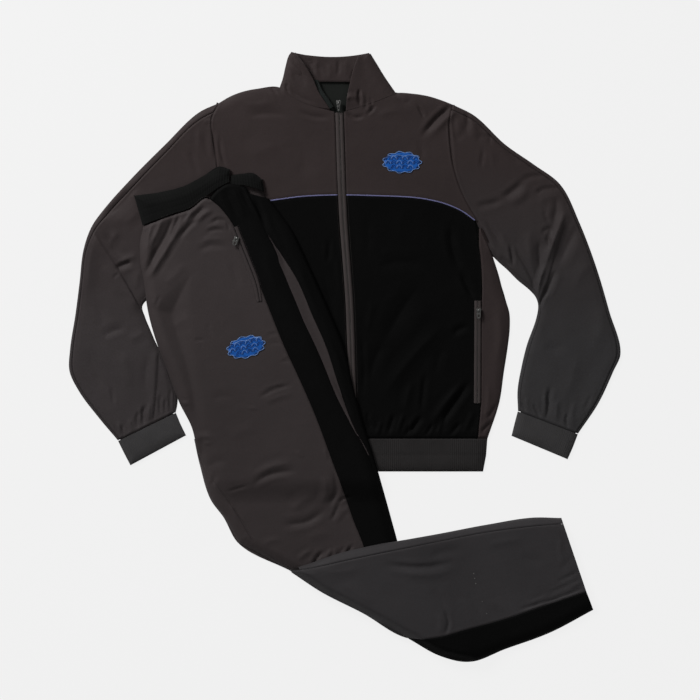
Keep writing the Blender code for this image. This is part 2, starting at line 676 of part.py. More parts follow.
def main():
    helpers = start()
    charcoal = paint("charcoal_nylon", CHARCOAL, 0.62)
    black = paint("black_nylon", BLACK, 0.6)
    rib_grey = paint("charcoal_rib", RIB_GREY, 0.8)
    rib_black = paint("black_rib", RIB_BLACK, 0.75)
    cord = paint("piping_cord", PIPING, 0.7)
    tape = paint("zip_tape", TAPE, 0.6)
    metal = paint("zip_metal", METAL, 0.4, 0.8)
    thread = paint("blue_thread", BLUE, 0.5)

    # Jacket: lower layer on the floor.
    plan = across(edge(BACK, "ax", "ay"), edge(BACK, "bx", "by"), np.linspace(0, 1, 8))
    rise = BACK_RISE * np.sin(np.pi * np.linspace(0, 1, 8)) ** 0.6
    for k, share in enumerate((1.0, 0.5)):
        plan[k, :, 1] -= rise * share
    panel("jacket_back", trim(plan, HALF, HALF, 0, SEAM), WALL, charcoal)
    plan = across(edge(COLLAR_BACK, "ax", "ay"), edge(COLLAR_BACK, "bx", "by"), np.linspace(0, 1, 9), COLLAR_BACK["bow"])
    panel("collar_back", plan, WALL, charcoal)

    # Upper layer.
    arm_l, arm_r = edge(ARMHOLE_LEFT, "x", "y"), edge(ARMHOLE_RIGHT, "x", "y")
    shares = np.unique(np.r_[fractions(arm_l[:7]), 0.05])
    plan = across(edge(UPPER_LEFT, "tx", "ty"), edge(UPPER_LEFT, "bx", "by"), shares)
    plan = bend(plan, arm_l[:7], (1.0, 0.5, 0.2), shares)
    panel("front_upper_left", trim(plan, SEAM, PIPING_HALF * GRID + SEAM * 2.5, SEAM * 5, SEAM * 6), jacket_top, charcoal)
    shares = np.unique(np.r_[fractions(arm_r[:7]), 0.05])
    plan = across(edge(UPPER_RIGHT, "tx", "ty"), edge(UPPER_RIGHT, "bx", "by"), shares)
    plan = bend(plan, np.concatenate([arm_r[:6], [[477.4, 221.4]]]), (1.0, 0.5, 0.2), shares, last=True)
    panel("front_upper_right", trim(plan, SEAM, PIPING_HALF * GRID + SEAM * 2.5, SEAM * 5, SEAM * 6), jacket_top, charcoal)
    strip("piping_left", edge(PIPING_LEFT, "x", "y"), PIPING_HALF, lambda p: jacket_top(p) + CORD, cord, WALL)
    strip("piping_right", edge(PIPING_RIGHT, "x", "y"), PIPING_HALF, lambda p: jacket_top(p) + CORD, cord, WALL)

    shares = fractions(edge(PIPING_LEFT, "x", "y"))
    plan = across(edge(LOWER_LEFT, "ax", "ay"), edge(LOWER_LEFT, "bx", "by"), shares)
    plan = bend(plan, edge(PIPING_LEFT, "x", "y"), (1.0, 0.45, 0.15), shares)
    panel("front_lower_left", trim(plan, SEAM, SEAM, PIPING_HALF * GRID + SEAM * 1.5, SEAM), jacket_top, black)
    shares = fractions(edge(PIPING_RIGHT, "x", "y"))
    plan = across(edge(LOWER_RIGHT, "ax", "ay"), edge(LOWER_RIGHT, "bx", "by"), shares)
    plan = bend(plan, edge(PIPING_RIGHT, "x", "y"), (1.0, 0.45, 0.15), shares)
    panel("front_lower_right", trim(plan, SEAM, SEAM, PIPING_HALF * GRID + SEAM * 1.5, SEAM), jacket_top, black)
    plan = across(edge(SIDE_RIGHT, "ax", "ay"), edge(SIDE_RIGHT, "bx", "by"), (0.0, 0.4, 0.75, 1.0))
    panel("side_right", trim(plan, SEAM, 0, SEAM * 2, SEAM), jacket_top, charcoal)
    plan = across(edge(ZIP_FRONT, "ax", "ay"), edge(ZIP_FRONT, "bx", "by"), (0.0, 0.5, 1.0))
    panel("front_zip", plan, lambda p: jacket_top(p) + 0.0002, tape)
    plan = across(edge(COLLAR_LEFT, "ax", "ay"), edge(COLLAR_LEFT, "bx", "by"), (0.0, 0.12, 0.35, 0.65, 1.0), COLLAR_LEFT["bow"])
    panel("collar_front_left", trim(plan, 0, SEAM, SEAM, 0), lambda p: jacket_top(p) + 0.0004, charcoal)
    plan = across(edge(COLLAR_RIGHT, "ax", "ay"), edge(COLLAR_RIGHT, "bx", "by"), (0.0, 0.35, 0.65, 0.88, 1.0), COLLAR_RIGHT["bow"])
    panel("collar_front_right", trim(plan, SEAM, 0, SEAM * 4, 0), lambda p: jacket_top(p) + 0.0004, charcoal)
    plan = across(edge(ZIP_OPEN, "ax", "ay"), edge(ZIP_OPEN, "bx", "by"), (0.0, 1.0))
    panel("front_zip_open", trim(plan, SEAM * 2, 0), jacket_top, tape)
    sleeve("left", SLEEVE_LEFT, arm_l, charcoal)
    sleeve("right", SLEEVE_RIGHT, arm_r, charcoal)
    cuff("left", CUFF_LEFT, rib_grey)
    cuff("right", CUFF_RIGHT, rib_grey)
    hem_band(rib_grey)
    plan = across(edge(POCKET_BODY, "ax", "ay"), edge(POCKET_BODY, "bx", "by"), (0.0, 0.5, 1.0))
    panel("pocket_zip_right", plan, lambda p: jacket_top(p) + 0.0016, tape, 0.0011)
    emblem("emblem_chest", (402, 162.5), 18.5, 10.2, 0, jacket_top, thread)

    # Trousers: the cloth that shows, and the hidden layers on the same sections.
    drop = WALL * 1.6 + SEAM
    left, inseam, parting, top_edge, right = (edge(LEG, c + "x", c + "y") for c in "ljgsr")
    front, stripe = (0.0, 0.06, 0.18, 0.36, 0.56, 0.78, 1.0), (0.0, 0.25, 0.55, 0.82, 1.0)
    over = bend(across(inseam, parting, front), edge(WAIST_SEAM, "x", "y"), (1.0, 0.45, 0.15), front)
    side = bend(across(parting, top_edge, stripe), edge(GATHER_SEAM, "x", "y"), (1.0, 0.3), stripe)
    panel("leg_front", trim(over, 0, SEAM, SEAM, SEAM), lambda p: leg_top(p, True), charcoal)
    panel("leg_stripe", trim(side, SEAM, 0, SEAM, SEAM), lambda p: leg_top(p, True), black)
    lens = top_edge + (right - top_edge) * 0.42
    split = across(top_edge + (right - top_edge) * 0.04, lens, (0.0, 0.5, 1.0))[2:8]
    panel("leg_beneath_panel", trim(split, SEAM * 2, SEAM), lambda p: leg_top(p, False), charcoal)
    split = across(lens, right, (0.0, 0.4, 0.8, 1.0))[2:8]
    panel("leg_beneath_stripe", trim(split, SEAM, 0), lambda p: leg_top(p, False), black)
    split = across(left, inseam, (0.0, 0.5, 1.0))[9:]
    panel("leg_back_sliver", trim(split, 0, SEAM * 2, 0, SEAM), lambda p: leg_top(p, True), charcoal)

    waist_l, waist_r = np.array([[136.5, 200.0]]), np.array([[260.0, 180.0]])
    knee_l, knee_g, knee_r = (edge(KNEE, c + "x", c + "y") for c in "lgr")

    def joined(a, b, shares, ends):
        return np.concatenate([ends[0], across(a, b, shares), ends[1]])

    def waist(count, x0, y0, x1, y1):
        return np.stack([np.linspace(x0, x1, count), np.linspace(y0, y1, count)], axis=1)[None]

    cols_a = np.concatenate([over[:, 1:], across(knee_l, knee_g, front)[:, 1:]])
    cols_b = np.concatenate([side[:, 1:-1], across(knee_g, knee_r, stripe)[:, 1:-1]])
    step_in = np.concatenate([top_edge, knee_r])
    outer = np.concatenate([right, knee_r + (knee_r - knee_l) * 0.02])
    edge_l = np.concatenate([left, knee_l])
    near = across(step_in, outer, (0.16, 0.55, 1.0))
    hidden = np.concatenate([edge_l[:, None], cols_a, cols_b, (step_in - (outer - edge_l) * 0.012)[:, None], near], axis=1)
    band = np.concatenate([
        waist(len(front), 141, 203, 206, 181), waist(len(stripe) - 1, 211, 177, 240, 180),
        waist(3, 243, 180, 258, 180),
    ], axis=1)
    hidden = np.concatenate([band, hidden])
    high = len(front) + len(stripe) - 1

    def hidden_top(p):
        on_top = np.arange(p.shape[1])[None, :] < high
        sink = np.zeros(len(p))
        sink[:3] = 0.0055, 0.0048, 0.0014    # room for the thicker waistband
        return np.where(on_top, leg_top(p, True), leg_top(p, False)) - drop - sink[:, None]

    layered_solid("trousers_layers", trim(hidden, 0.0022, 0.0022, 0.002, 0), hidden_top, leg_under, charcoal)

    upper, inseam, parting, lower = (edge(TURN, c + "x", c + "y") for c in "tigb")
    front, stripe = (0.0, 0.1, 0.26, 0.46, 0.68, 0.88, 1.0), (0.0, 0.5, 0.85, 1.0)
    middle, low = across(inseam, parting, front), across(parting, lower, stripe)
    panel("turned_leg_panel", trim(middle, SEAM, SEAM), turn_top, charcoal)
    plan = across(upper, inseam, (0.0, 0.5, 1.0))[1:]
    panel("turned_leg_sliver", trim(plan, 0, SEAM), turn_top, charcoal)
    panel("turned_leg_stripe", trim(low[3:], SEAM, 0), turn_top, black)
    inner = parting.copy()
    inner[:4] = across(inseam, parting, (0.95,))[:4, 0]
    plan = np.concatenate([upper[:, None], middle[:, :-1], across(inner, lower, stripe)], axis=1)[1:]
    sink = np.zeros(plan.shape[:2])
    sink[:4, -5:] = 0.0029    # room for the fold at the knee
    layered_solid("turned_layers", trim(plan, 0.0022, 0.0022, 0, 0.004),
                  lambda p: turn_top(p) - drop - sink, turn_under, charcoal)

    shares = (0.0, 0.3, 0.65, 1.0)
    plan = across(edge(WAIST_FRONT, "tx", "ty"), edge(WAIST_FRONT, "bx", "by"), shares)
    panel("waistband_front", trim(plan, 0, SEAM, 0, SEAM), lambda p: leg_top(p, True), rib_black, RIB_WALL)
    plan = across(edge(WAIST_BEHIND, "tx", "ty"), edge(WAIST_BEHIND, "bx", "by"), shares)
    panel("waistband_behind", trim(plan, 0, SEAM, SEAM, 0), lambda p: leg_top(p, False), rib_black, RIB_WALL)
    plan = across(edge(POCKET_LEG, "ax", "ay"), edge(POCKET_LEG, "bx", "by"), (0.0, 1.0))
    panel("pocket_zip_leg", plan, lambda p: leg_top(p, True) + 0.0016, tape, 0.0011)
    emblem("emblem_thigh", (246.5, 347), 18.5, 10.2, 14, lambda p: leg_top(p, True) + 0.0004, thread)

    # Zip hardware.
    def spot(x, y, height, lift):
        p = np.array([[x, y]], float)
        return to_metres(p, height(p) + lift)[0]

    bar = 0.0022 + 0.0010
    for name, x, y, height, lift, turn, width, length, tab in (
        ("front", 338.6, 103.5, jacket_top, 0.0012, -0.03, 0.0085, 0.0100, (0.0135, 0.0052, 0.30)),
        ("pocket", 478.5, 310.5, jacket_top, 0.0020, -0.02, 0.0088, 0.0070, (0.0135, 0.0072, 0.42)),
        ("leg_pocket", 237.0, 239.0, lambda p: leg_top(p, True), 0.0020, -0.35, 0.0088, 0.0064, (0.0125, 0.0080, 0.42)),
    ):
        place = spot(x, y, height, lift)
        slider(f"{name}_slider", place, turn, width, length, helpers, metal)
        place = place + np.array([0, 0, bar])
        pull_tab(f"{name}_pull", place, turn, *tab, metal, helpers)


main()
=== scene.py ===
"""Looks of a tracksuit laid flat: jacket face up, folded trousers on it.

Metres. Plan positions are squares of the laying-out grid (GRID metres each,
x to the right, y downwards); crease sizes are squares across and millimetres high.
"""
import math

import bmesh
import bpy
import numpy as np
from mathutils import Matrix, Vector


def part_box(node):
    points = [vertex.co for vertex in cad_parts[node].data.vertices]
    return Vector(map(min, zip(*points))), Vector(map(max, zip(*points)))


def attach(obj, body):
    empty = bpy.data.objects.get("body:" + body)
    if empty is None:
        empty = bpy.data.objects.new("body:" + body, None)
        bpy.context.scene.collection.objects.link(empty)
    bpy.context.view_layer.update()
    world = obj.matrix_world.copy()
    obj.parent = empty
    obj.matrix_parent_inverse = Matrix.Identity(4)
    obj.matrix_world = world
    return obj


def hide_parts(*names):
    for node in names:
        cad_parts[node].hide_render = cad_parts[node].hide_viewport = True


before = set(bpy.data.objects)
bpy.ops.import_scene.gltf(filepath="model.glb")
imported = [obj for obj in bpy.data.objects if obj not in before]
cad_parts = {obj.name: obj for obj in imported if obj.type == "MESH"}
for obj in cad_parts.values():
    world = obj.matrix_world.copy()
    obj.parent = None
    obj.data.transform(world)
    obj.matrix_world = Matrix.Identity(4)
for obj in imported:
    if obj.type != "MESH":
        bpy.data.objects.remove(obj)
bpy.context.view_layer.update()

# ---- sizes, as in the part ----------------------------------------------------
GRID = 0.0017
GRID_X0, GRID_Y0 = 345.0, 356.735
WALL = 0.0015
SEAM = 0.0003
BODY_PUFF = 0.0034
BODY_ROLL = 0.016
LEG_EDGE = 0.0050
LEG_PUFF = 0.0062
LEG_STEP = 0.0038
LEG_ROLL = 0.020
TURN_PUFF = 0.0078
BRIDGE = 0.0092
TURN_LEVEL = 0.0162
CLOTH = 0.0006           # thickness of the shells that show
FINE = 0.0027         # spacing of a cloth's grid, in metres
COARSE = 0.0060          # on cloth that lies hidden or flat


def rows(columns, *values):
    table = np.array(values, float)
    return {name: table[:, i] for i, name in enumerate(columns.split())}


SLEEVE_LEFT = rows(
    "ax ay bx by seam",
    (219, 103.5, 198, 256, 0.06),
    (199, 113, 192, 264, 0.065),
    (166, 144.5, 182, 272, 0.065),
    (133, 177.6, 170, 281, 0.07),
    (104, 210, 157, 292, 0.06),
    (92, 227, 142, 306, 0.05),
    (84, 250, 145, 318, 0.03),
    (80, 283, 150, 330, 0.03),
    (76, 314, 156, 344, 0.03),
    (70.5, 350, 161, 353, 0.03),
    (70, 371, 172, 374, 0.03),
    (80, 392, 177, 393, 0.03),
    (98, 416, 177, 404, 0.03),
    (118.4, 440.2, 175.3, 412.4, 0.03),
)
SLEEVE_RIGHT = rows(
    "ax ay bx by seam",
    (452.5, 105, 493, 256, 0.03),
    (474, 116, 499, 262, 0.03),
    (505, 145, 507, 269, 0.03),
    (533, 164.5, 518, 280, 0.03),
    (560, 185, 530, 290, 0.03),
    (579, 223, 536, 297, 0.03),
    (596, 268, 538.5, 305, 0.03),
    (609, 312, 537, 317, 0.03),
    (620, 354, 527, 346, 0.03),
    (613, 371, 521.5, 369, 0.03),
    (598, 403, 518, 390, 0.03),
    (577.5, 433.5, 518.4, 411, 0.03),
)
CUFF_LEFT = rows(
    "ax ay bx by",
    (118.7, 440.7, 175.4, 412.9), (124.5, 452.5, 180.2, 424.4), (131, 465, 185.6, 435.6),
)
CUFF_RIGHT = rows(
    "ax ay bx by",
    (577.3, 434, 518.2, 411.5), (572.5, 446.5, 515, 423.7), (567, 459, 512, 436),
)
# Armhole seams, from the shoulder to the underarm.
ARMHOLE_LEFT = rows(
    "x y",
    (219, 103.5), (211.5, 120), (213.5, 140), (217, 163), (217, 185),
    (213, 205), (208, 224), (203, 240), (198, 256),
)
ARMHOLE_RIGHT = rows(
    "x y",
    (452.5, 105), (449.5, 121), (450, 143), (453.5, 166), (461, 190),
    (470, 208), (479, 223), (486, 240), (493, 256),
)
# Upper fronts: a section for each row, (tx, ty) on the shoulder or neck seam,
# (bx, by) on the piping seam.
UPPER_LEFT = rows(
    "tx ty bx by",
    (219, 103.5, 208, 224), (230, 97, 228, 212), (243, 92, 248, 205), (258, 89, 267, 201.4),
    (278.5, 87.5, 286, 198.6), (292, 97, 300, 196.6), (306, 103.5, 313, 195.8),
    (320, 108.5, 325.5, 195.3), (334.8, 112.5, 337.9, 195),
)
UPPER_RIGHT = rows(
    "tx ty bx by",
    (343.8, 112.5, 346.5, 195), (355, 109, 362, 195.3), (367, 104.5, 379, 195.9), (382, 99, 397, 196.4),
    (396.7, 93.5, 413, 197.3), (412, 94, 429, 199.6), (428, 96.5, 445, 203.6),
    (441, 100.5, 462, 211), (452.5, 105, 477.4, 221.4),
)
# Lower fronts: (ax, ay) on the wearer's outer side or zip, (bx, by) opposite.
LOWER_LEFT = rows(
    "ax ay bx by",
    (208, 225, 338, 196.5), (203, 242, 338.8, 216), (199, 257, 341, 245), (199, 275, 343.2, 268),
    (198, 300, 345.3, 299), (202, 335, 346.8, 335), (206, 370, 348, 370), (213, 404, 349, 404),
    (221, 437, 350, 437),
)
LOWER_RIGHT = rows(
    "ax ay bx by",
    (346.7, 196.6, 478.7, 224.5), (347.9, 222, 478.5, 238), (350.8, 262, 481.5, 266),
    (352.4, 285, 482, 290), (353.7, 303, 481.5, 303), (355, 345, 481, 345),
    (355.8, 372, 481, 380), (356.9, 405, 480.7, 405), (357.8, 437.5, 477.6, 437),
)
SIDE_RIGHT = rows(
    "ax ay bx by",
    (480.5, 228.5, 492.5, 257), (480.5, 252, 498, 274), (482.2, 290, 502.5, 291), (482, 303, 506.5, 304),
    (481.7, 313, 509, 313), (481.5, 328, 509.4, 328), (481.4, 345, 507.5, 346),
    (481.4, 375, 503.5, 372), (481, 405, 499, 402), (478, 437, 487.2, 438.2),
)
PIPING_LEFT = rows("x y", (209, 224.6), (228, 212.4), (248, 205.2), (267, 201.4), (286, 198.6),
                   (300, 196.8), (313, 195.9), (325.5, 195.4), (337.6, 195.2))
PIPING_RIGHT = rows("x y", (346.7, 195.2), (362, 195.5), (379, 196), (397, 196.6), (413, 197.6),
                    (429, 199.9), (445, 203.9), (462, 211.3), (475, 220.6))
PIPING_HALF = 1.0        # half the piping's width, in grid squares
ZIP_FRONT = rows(
    "ax ay bx by",
    (335.2, 113, 343.4, 113), (337.8, 189, 346, 189), (339.5, 222, 347.6, 222), (342.8, 264, 350.6, 264),
    (345.3, 299, 353.2, 299), (346.8, 335, 354.7, 335), (348, 369, 355.6, 369), (349, 404, 356.6, 404),
    (350.2, 437, 357.6, 437), (351.5, 471, 359, 471),
)
ZIP_OPEN = rows("ax ay bx by", (313.6, 80, 317.5, 79), (319.1, 92.5, 322.6, 91),
                (323.8, 99.4, 327.3, 97.6), (330.2, 109, 333.3, 106.8))
HEM = rows("zip_l zip_r left right y",
           (350.1, 358.1, 222.5, 486.8, 438.6), (350.7, 358.8, 228, 485.6, 455), (351.3, 359.5, 233, 482.5, 471.5))
# The back and the collar.
BACK = rows(
    "ax ay bx by",
    (219.8, 104.2, 452, 105.6), (211.9, 121, 449.2, 121.5), (213.9, 141, 449.8, 143), (217.4, 163, 453.2, 166),
    (217.3, 185, 460.6, 190), (213.3, 205, 469.6, 208), (208.3, 224, 478.6, 223),
    (203.3, 240, 485.6, 240), (198.3, 256, 492.6, 256), (198, 275, 498, 275), (198, 303, 506.3, 303),
    (202, 335, 508.8, 335), (206, 371, 503.6, 371), (213, 404, 498.8, 404), (222, 437.6, 487, 437.6),
)
BACK_RISE = 15.5         # how far the back's neck edge rises above its shoulder points
COLLAR_BACK = rows(
    "ax ay bx by bow",
    (291.8, 52.5, 369.2, 53.4, 4.6), (289, 61, 374, 61, 3), (286, 71, 380, 71, 1.5), (281.5, 90.4, 392.5, 91.4, -2.2),
)
COLLAR_LEFT = rows(
    "ax ay bx by bow",
    (280, 87.8, 329.5, 109, -4), (283, 79, 318.5, 92.5, -2), (286, 66, 313, 80, 0),
    (289, 56, 304.5, 65.5, 0), (291.5, 52.5, 295, 54, 0),
)
COLLAR_RIGHT = rows(
    "ax ay bx by bow",
    (346.5, 110.8, 395.8, 93.6, -1.5), (347.5, 97, 391.5, 87.5, 0), (350.3, 84, 384, 76.5, 0),
    (354, 69, 377, 65, 0), (358, 57.5, 370.5, 54.4, 0),
)
# Trousers. A row for each section of the upper leg, from waist to knee:
# l outline, j inseam, g edge of the side stripe, s edge of the leg on top,
# r outline of the leg beneath.
LEG = rows(
    "lx ly jx jy gx gy sx sy rx ry",
    (144.2, 226.8, 144.2, 226.8, 210, 199.5, 246, 187.8, 264.8, 194),
    (140.8, 243, 140.8, 243, 220, 207.5, 255, 205, 275, 208),
    (141.2, 262, 141.2, 262, 234, 226, 267, 232, 291, 231),
    (144.5, 280, 144.5, 280, 243, 244.5, 277, 252, 301, 251),
    (149, 312, 149, 312, 254.5, 271.5, 288.5, 281, 314, 279),
    (158, 344, 158, 344, 267.5, 304, 302.5, 315, 330, 315),
    (168.5, 371, 168.5, 371, 284, 345, 317.5, 348, 343.5, 348),
    (180, 402, 180, 402, 302, 384, 334, 388, 353, 388),
    (191.5, 426, 192.2, 426, 317, 419, 351.5, 424, 362.5, 424),
    (200, 463, 202.2, 463, 331, 457, 369, 455, 372.6, 455),
    (211, 499, 222, 492, 346, 498, 383, 498, 385, 498),
    (224, 517, 236, 511, 354, 521, 389.5, 521, 391.3, 521),
    (239, 543, 254, 541, 362, 541, 395, 541, 396.8, 541),
)
# The upper leg goes on beneath the turned-over leg to the fold at the knee.
KNEE = rows("lx ly gx gy rx ry", (290, 570, 372, 573, 410, 580), (361, 611, 402, 614, 428, 618),
            (420, 644, 435, 648, 442, 650))
# Seams of the waistband's lower edge: over the front panel, then over the stripe.
WAIST_SEAM = rows("x y", (144.2, 226.8), (172.4, 215.9), (191.5, 209.3), (205.8, 198.8), (210, 199.5))
GATHER_SEAM = rows("x y", (210, 199.5), (217.8, 190.4), (230.2, 184.2), (246, 187.8))
# Turned-over lower leg, from the knee to the hem: t upper edge, i inseam,
# g edge of the side stripe, b lower edge.
TURN = rows(
    "tx ty ix iy gx gy bx by",
    (290.5, 569.5, 290.9, 570.2, 291.8, 571.6, 292.5, 572.6),
    (311, 563, 313, 567, 322, 591.5, 322.5, 592.5),
    (340, 553, 342.5, 560.5, 362, 611.8, 362.4, 612.8),
    (375, 545, 377.5, 553, 408, 637.4, 409, 638),
    (410, 539, 412.5, 546, 437, 636, 440, 655),
    (444, 533.2, 446, 539.5, 463, 629.3, 469, 661),
    (488, 525, 489.5, 531.5, 501, 619.5, 505, 648.5),
    (532, 518.2, 533, 526, 546, 604.5, 550, 632),
    (561, 518.5, 562.5, 523.5, 585.5, 591.4, 592.6, 609.5),
)
WAIST_FRONT = rows(
    "tx ty bx by",
    (135.3, 196.5, 143.6, 225.6), (160, 193, 172, 215), (184, 187, 191, 208.4), (205, 176, 205.5, 197.6),
    (219, 167.5, 217, 189.5), (230, 170, 229.5, 182.5),
)
WAIST_BEHIND = rows("tx ty bx by", (231.3, 176, 231, 186), (243, 174.5, 244.5, 186),
                    (254, 174.2, 256, 189), (262, 180.5, 264, 192))
POCKET_LEG = rows("ax ay bx by", (230.5, 229, 238, 226.5), (236.5, 243, 243.5, 240.5),
                  (244.5, 262, 251, 259.5), (253.5, 286, 260, 284), (257.5, 302, 262.5, 301))
POCKET_BODY = rows("ax ay bx by", (474.3, 300.8, 481, 300.8), (474.2, 335, 480.9, 335),
                   (474, 370, 480.7, 370), (473.8, 403.2, 480.5, 403.2))


# ---- curves and plan rules ------------------------------------------------------
def smooth(t):
    t = np.clip(t, 0.0, 1.0)
    return t * t * (3 - 2 * t)


def roll(depth, width):
    t = np.clip(depth / width, 0.0, 1.0)
    return 1 - (1 - t) ** 2


def edge(table, x, y):
    return np.stack([table[x], table[y]], axis=1)


def through(points, t):
    """A smooth curve through the points, at t counted in points."""
    points = np.asarray(points, float)
    last = len(points) - 1
    if last < 2:
        return points[0] + (points[-1] - points[0]) * (np.asarray(t)[:, None] / max(last, 1))
    padded = np.concatenate([[2 * points[0] - points[1]], points, [2 * points[-1] - points[-2]]])
    i = np.clip(np.floor(t).astype(int), 0, last - 1)
    f = (np.asarray(t) - i)[:, None]
    p0, p1, p2, p3 = (padded[i + k] for k in range(4))
    # The tangents are shortened where the spacing jumps, so that the curve stays near its points.
    d0, d1, d2 = (np.linalg.norm(b - a, axis=1, keepdims=True) + 1e-9 for a, b in ((p0, p1), (p1, p2), (p2, p3)))
    m1 = ((p1 - p0) / d0 * d1 + (p2 - p1)) / 2
    m2 = ((p2 - p1) + (p3 - p2) / d2 * d1) / 2
    m1 = np.where(d0 > d1 * 0.02, m1, p2 - p1)
    m2 = np.where(d2 > d1 * 0.02, m2, p2 - p1)
    return ((2 * f**3 - 3 * f**2 + 1) * p1 + (f**3 - 2 * f**2 + f) * m1
            + (-2 * f**3 + 3 * f**2) * p2 + (f**3 - f**2) * m2)


def fine_edge(table, x, y, first=0, last=None, each=6):
    points = edge(table, x, y)
    last = len(points) - 1 if last is None else last
    return through(points, np.linspace(first, last, int((last - first) * each) + 1))


def fine_line(points, each=8):
    return through(points, np.linspace(0, len(points) - 1, (len(points) - 1) * each + 1))


def evenly(line, pitch):
    """Points along a line of plan points, pitch metres apart."""
    step = np.r_[0, np.cumsum(np.hypot(*np.diff(line, axis=0).T))]
    count = max(2, int(round(step[-1] * GRID / pitch)) + 1)
    at = np.linspace(0, step[-1], count)
    return np.stack([np.interp(at, step, line[:, i]) for i in (0, 1)], axis=1)


def along(line, shares):
    step = np.r_[0, np.cumsum(np.hypot(*np.diff(line, axis=0).T))]
    return np.stack([np.interp(np.asarray(shares) * step[-1], step, line[:, i]) for i in (0, 1)], axis=1)


def inside_depth(points, outline):
    """Distance in metres from the outline: positive inside it, negative outside."""
    p = points.reshape(-1, 2)
    best = np.full(len(p), 1e9)
    inside = np.zeros(len(p), bool)
    for (ax, ay), (bx, by) in zip(outline, np.roll(outline, -1, axis=0)):
        dx, dy = bx - ax, by - ay
        t = np.clip(((p[:, 0] - ax) * dx + (p[:, 1] - ay) * dy) / (dx * dx + dy * dy + 1e-12), 0, 1)
        best = np.minimum(best, (p[:, 0] - ax - t * dx) ** 2 + (p[:, 1] - ay - t * dy) ** 2)
        if ay != by:
            cross = (p[:, 1] > min(ay, by)) & (p[:, 1] <= max(ay, by))
            inside ^= cross & (p[:, 0] < ax + (p[:, 1] - ay) / (by - ay) * dx)
    best = np.sqrt(best)
    return (np.where(inside, best, -best) * GRID).reshape(points.shape[:-1])


def line_distance(points, line):
    best = np.full(points.shape[:-1], 1e9)
    for (ax, ay), (bx, by) in zip(line[:-1], line[1:]):
        dx, dy = bx - ax, by - ay
        t = np.clip(((points[..., 0] - ax) * dx + (points[..., 1] - ay) * dy) / (dx * dx + dy * dy + 1e-12), 0, 1)
        best = np.minimum(best, (points[..., 0] - ax - t * dx) ** 2 + (points[..., 1] - ay - t * dy) ** 2)
    return np.sqrt(best) * GRID


FOLD = 1.75      # how much deeper a fold is than its row says


def creases(points, table):
    """Soft and sharp folds in metres. Each runs through three plan points; it is half squares wide to a
    side and mm high (less than 0 is a trough); lean above 0 makes its right-hand side, seen along it, steeper."""
    total = np.zeros(points.shape[:-1])
    for x0, y0, x1, y1, x2, y2, half, mm, lean in zip(*table.values()):
        near = 3.2 * half
        box = ((points[..., 0] > min(x0, x1, x2) - near) & (points[..., 0] < max(x0, x1, x2) + near)
               & (points[..., 1] > min(y0, y1, y2) - near) & (points[..., 1] < max(y0, y1, y2) + near))
        if not box.any():
            continue
        p = points[box]
        line = through([(x0, y0), (x1, y1), (x2, y2)], np.linspace(0, 2, 13))
        step = np.r_[0, np.cumsum(np.hypot(*np.diff(line, axis=0).T))]
        best, side, share = np.full(len(p), 1e9), np.zeros(len(p)), np.zeros(len(p))
        for k in range(12):
            (ax, ay), (bx, by) = line[k], line[k + 1]
            dx, dy = bx - ax, by - ay
            t = np.clip(((p[:, 0] - ax) * dx + (p[:, 1] - ay) * dy) / (dx * dx + dy * dy), 0, 1)
            d = np.hypot(p[:, 0] - ax - t * dx, p[:, 1] - ay - t * dy)
            closer = d < best
            best = np.where(closer, d, best)
            side = np.where(closer, np.sign(dx * (p[:, 1] - ay) - dy * (p[:, 0] - ax)), side)
            share = np.where(closer, (step[k] + t * (step[k + 1] - step[k])) / step[-1], share)
        reach = half * np.where(side > 0, 1 - 0.55 * lean, 1 + 0.55 * lean)
        v = best / reach
        core = 0.6 * np.exp(-2.0 * v * v) + 0.4 * np.exp(-2.6 * v)
        core = core - 0.20 * np.exp(-(((v - 1.7) / 0.6) ** 2))
        taper = smooth(share / 0.3) * smooth((1 - share) / 0.4)
        total[box] += FOLD * mm * 0.001 * core * taper
    return total


def lips(points, table):
    """Edges of cloth that overlies its own neighbour: a step up, mm high, on the left of the line seen along
    it, running out over back squares, with a steep fall on the right."""
    total = np.zeros(points.shape[:-1])
    for x0, y0, x1, y1, x2, y2, back, mm, under in zip(*table.values()):
        near = 2.6 * back
        box = ((points[..., 0] > min(x0, x1, x2) - near) & (points[..., 0] < max(x0, x1, x2) + near)
               & (points[..., 1] > min(y0, y1, y2) - near) & (points[..., 1] < max(y0, y1, y2) + near))
        if not box.any():
            continue
        p = points[box]
        line = through([(x0, y0), (x1, y1), (x2, y2)], np.linspace(0, 2, 17))
        step = np.r_[0, np.cumsum(np.hypot(*np.diff(line, axis=0).T))]
        best, side, share = np.full(len(p), 1e9), np.zeros(len(p)), np.zeros(len(p))
        for k in range(16):
            (ax, ay), (bx, by) = line[k], line[k + 1]
            dx, dy = bx - ax, by - ay
            t = np.clip(((p[:, 0] - ax) * dx + (p[:, 1] - ay) * dy) / (dx * dx + dy * dy), 0, 1)
            d = np.hypot(p[:, 0] - ax - t * dx, p[:, 1] - ay - t * dy)
            closer = d < best
            best = np.where(closer, d, best)
            side = np.where(closer, np.sign(dx * (p[:, 1] - ay) - dy * (p[:, 0] - ax)), side)
            share = np.where(closer, (step[k] + t * (step[k + 1] - step[k])) / step[-1], share)
        taper = smooth(share / 0.16) * smooth((1 - share) / 0.16)
        s = best * side * -1
        high = np.where(s >= 0, np.exp(-(s / back) ** 2 * 1.2), np.exp(-((s / 0.55) ** 2)))
        low = np.where(s < 0, np.exp(-((s + 1.3) / 1.6) ** 2), 0.0)
        total[box] += taper * (mm * 0.001 * high - under * 0.001 * low)
    return total


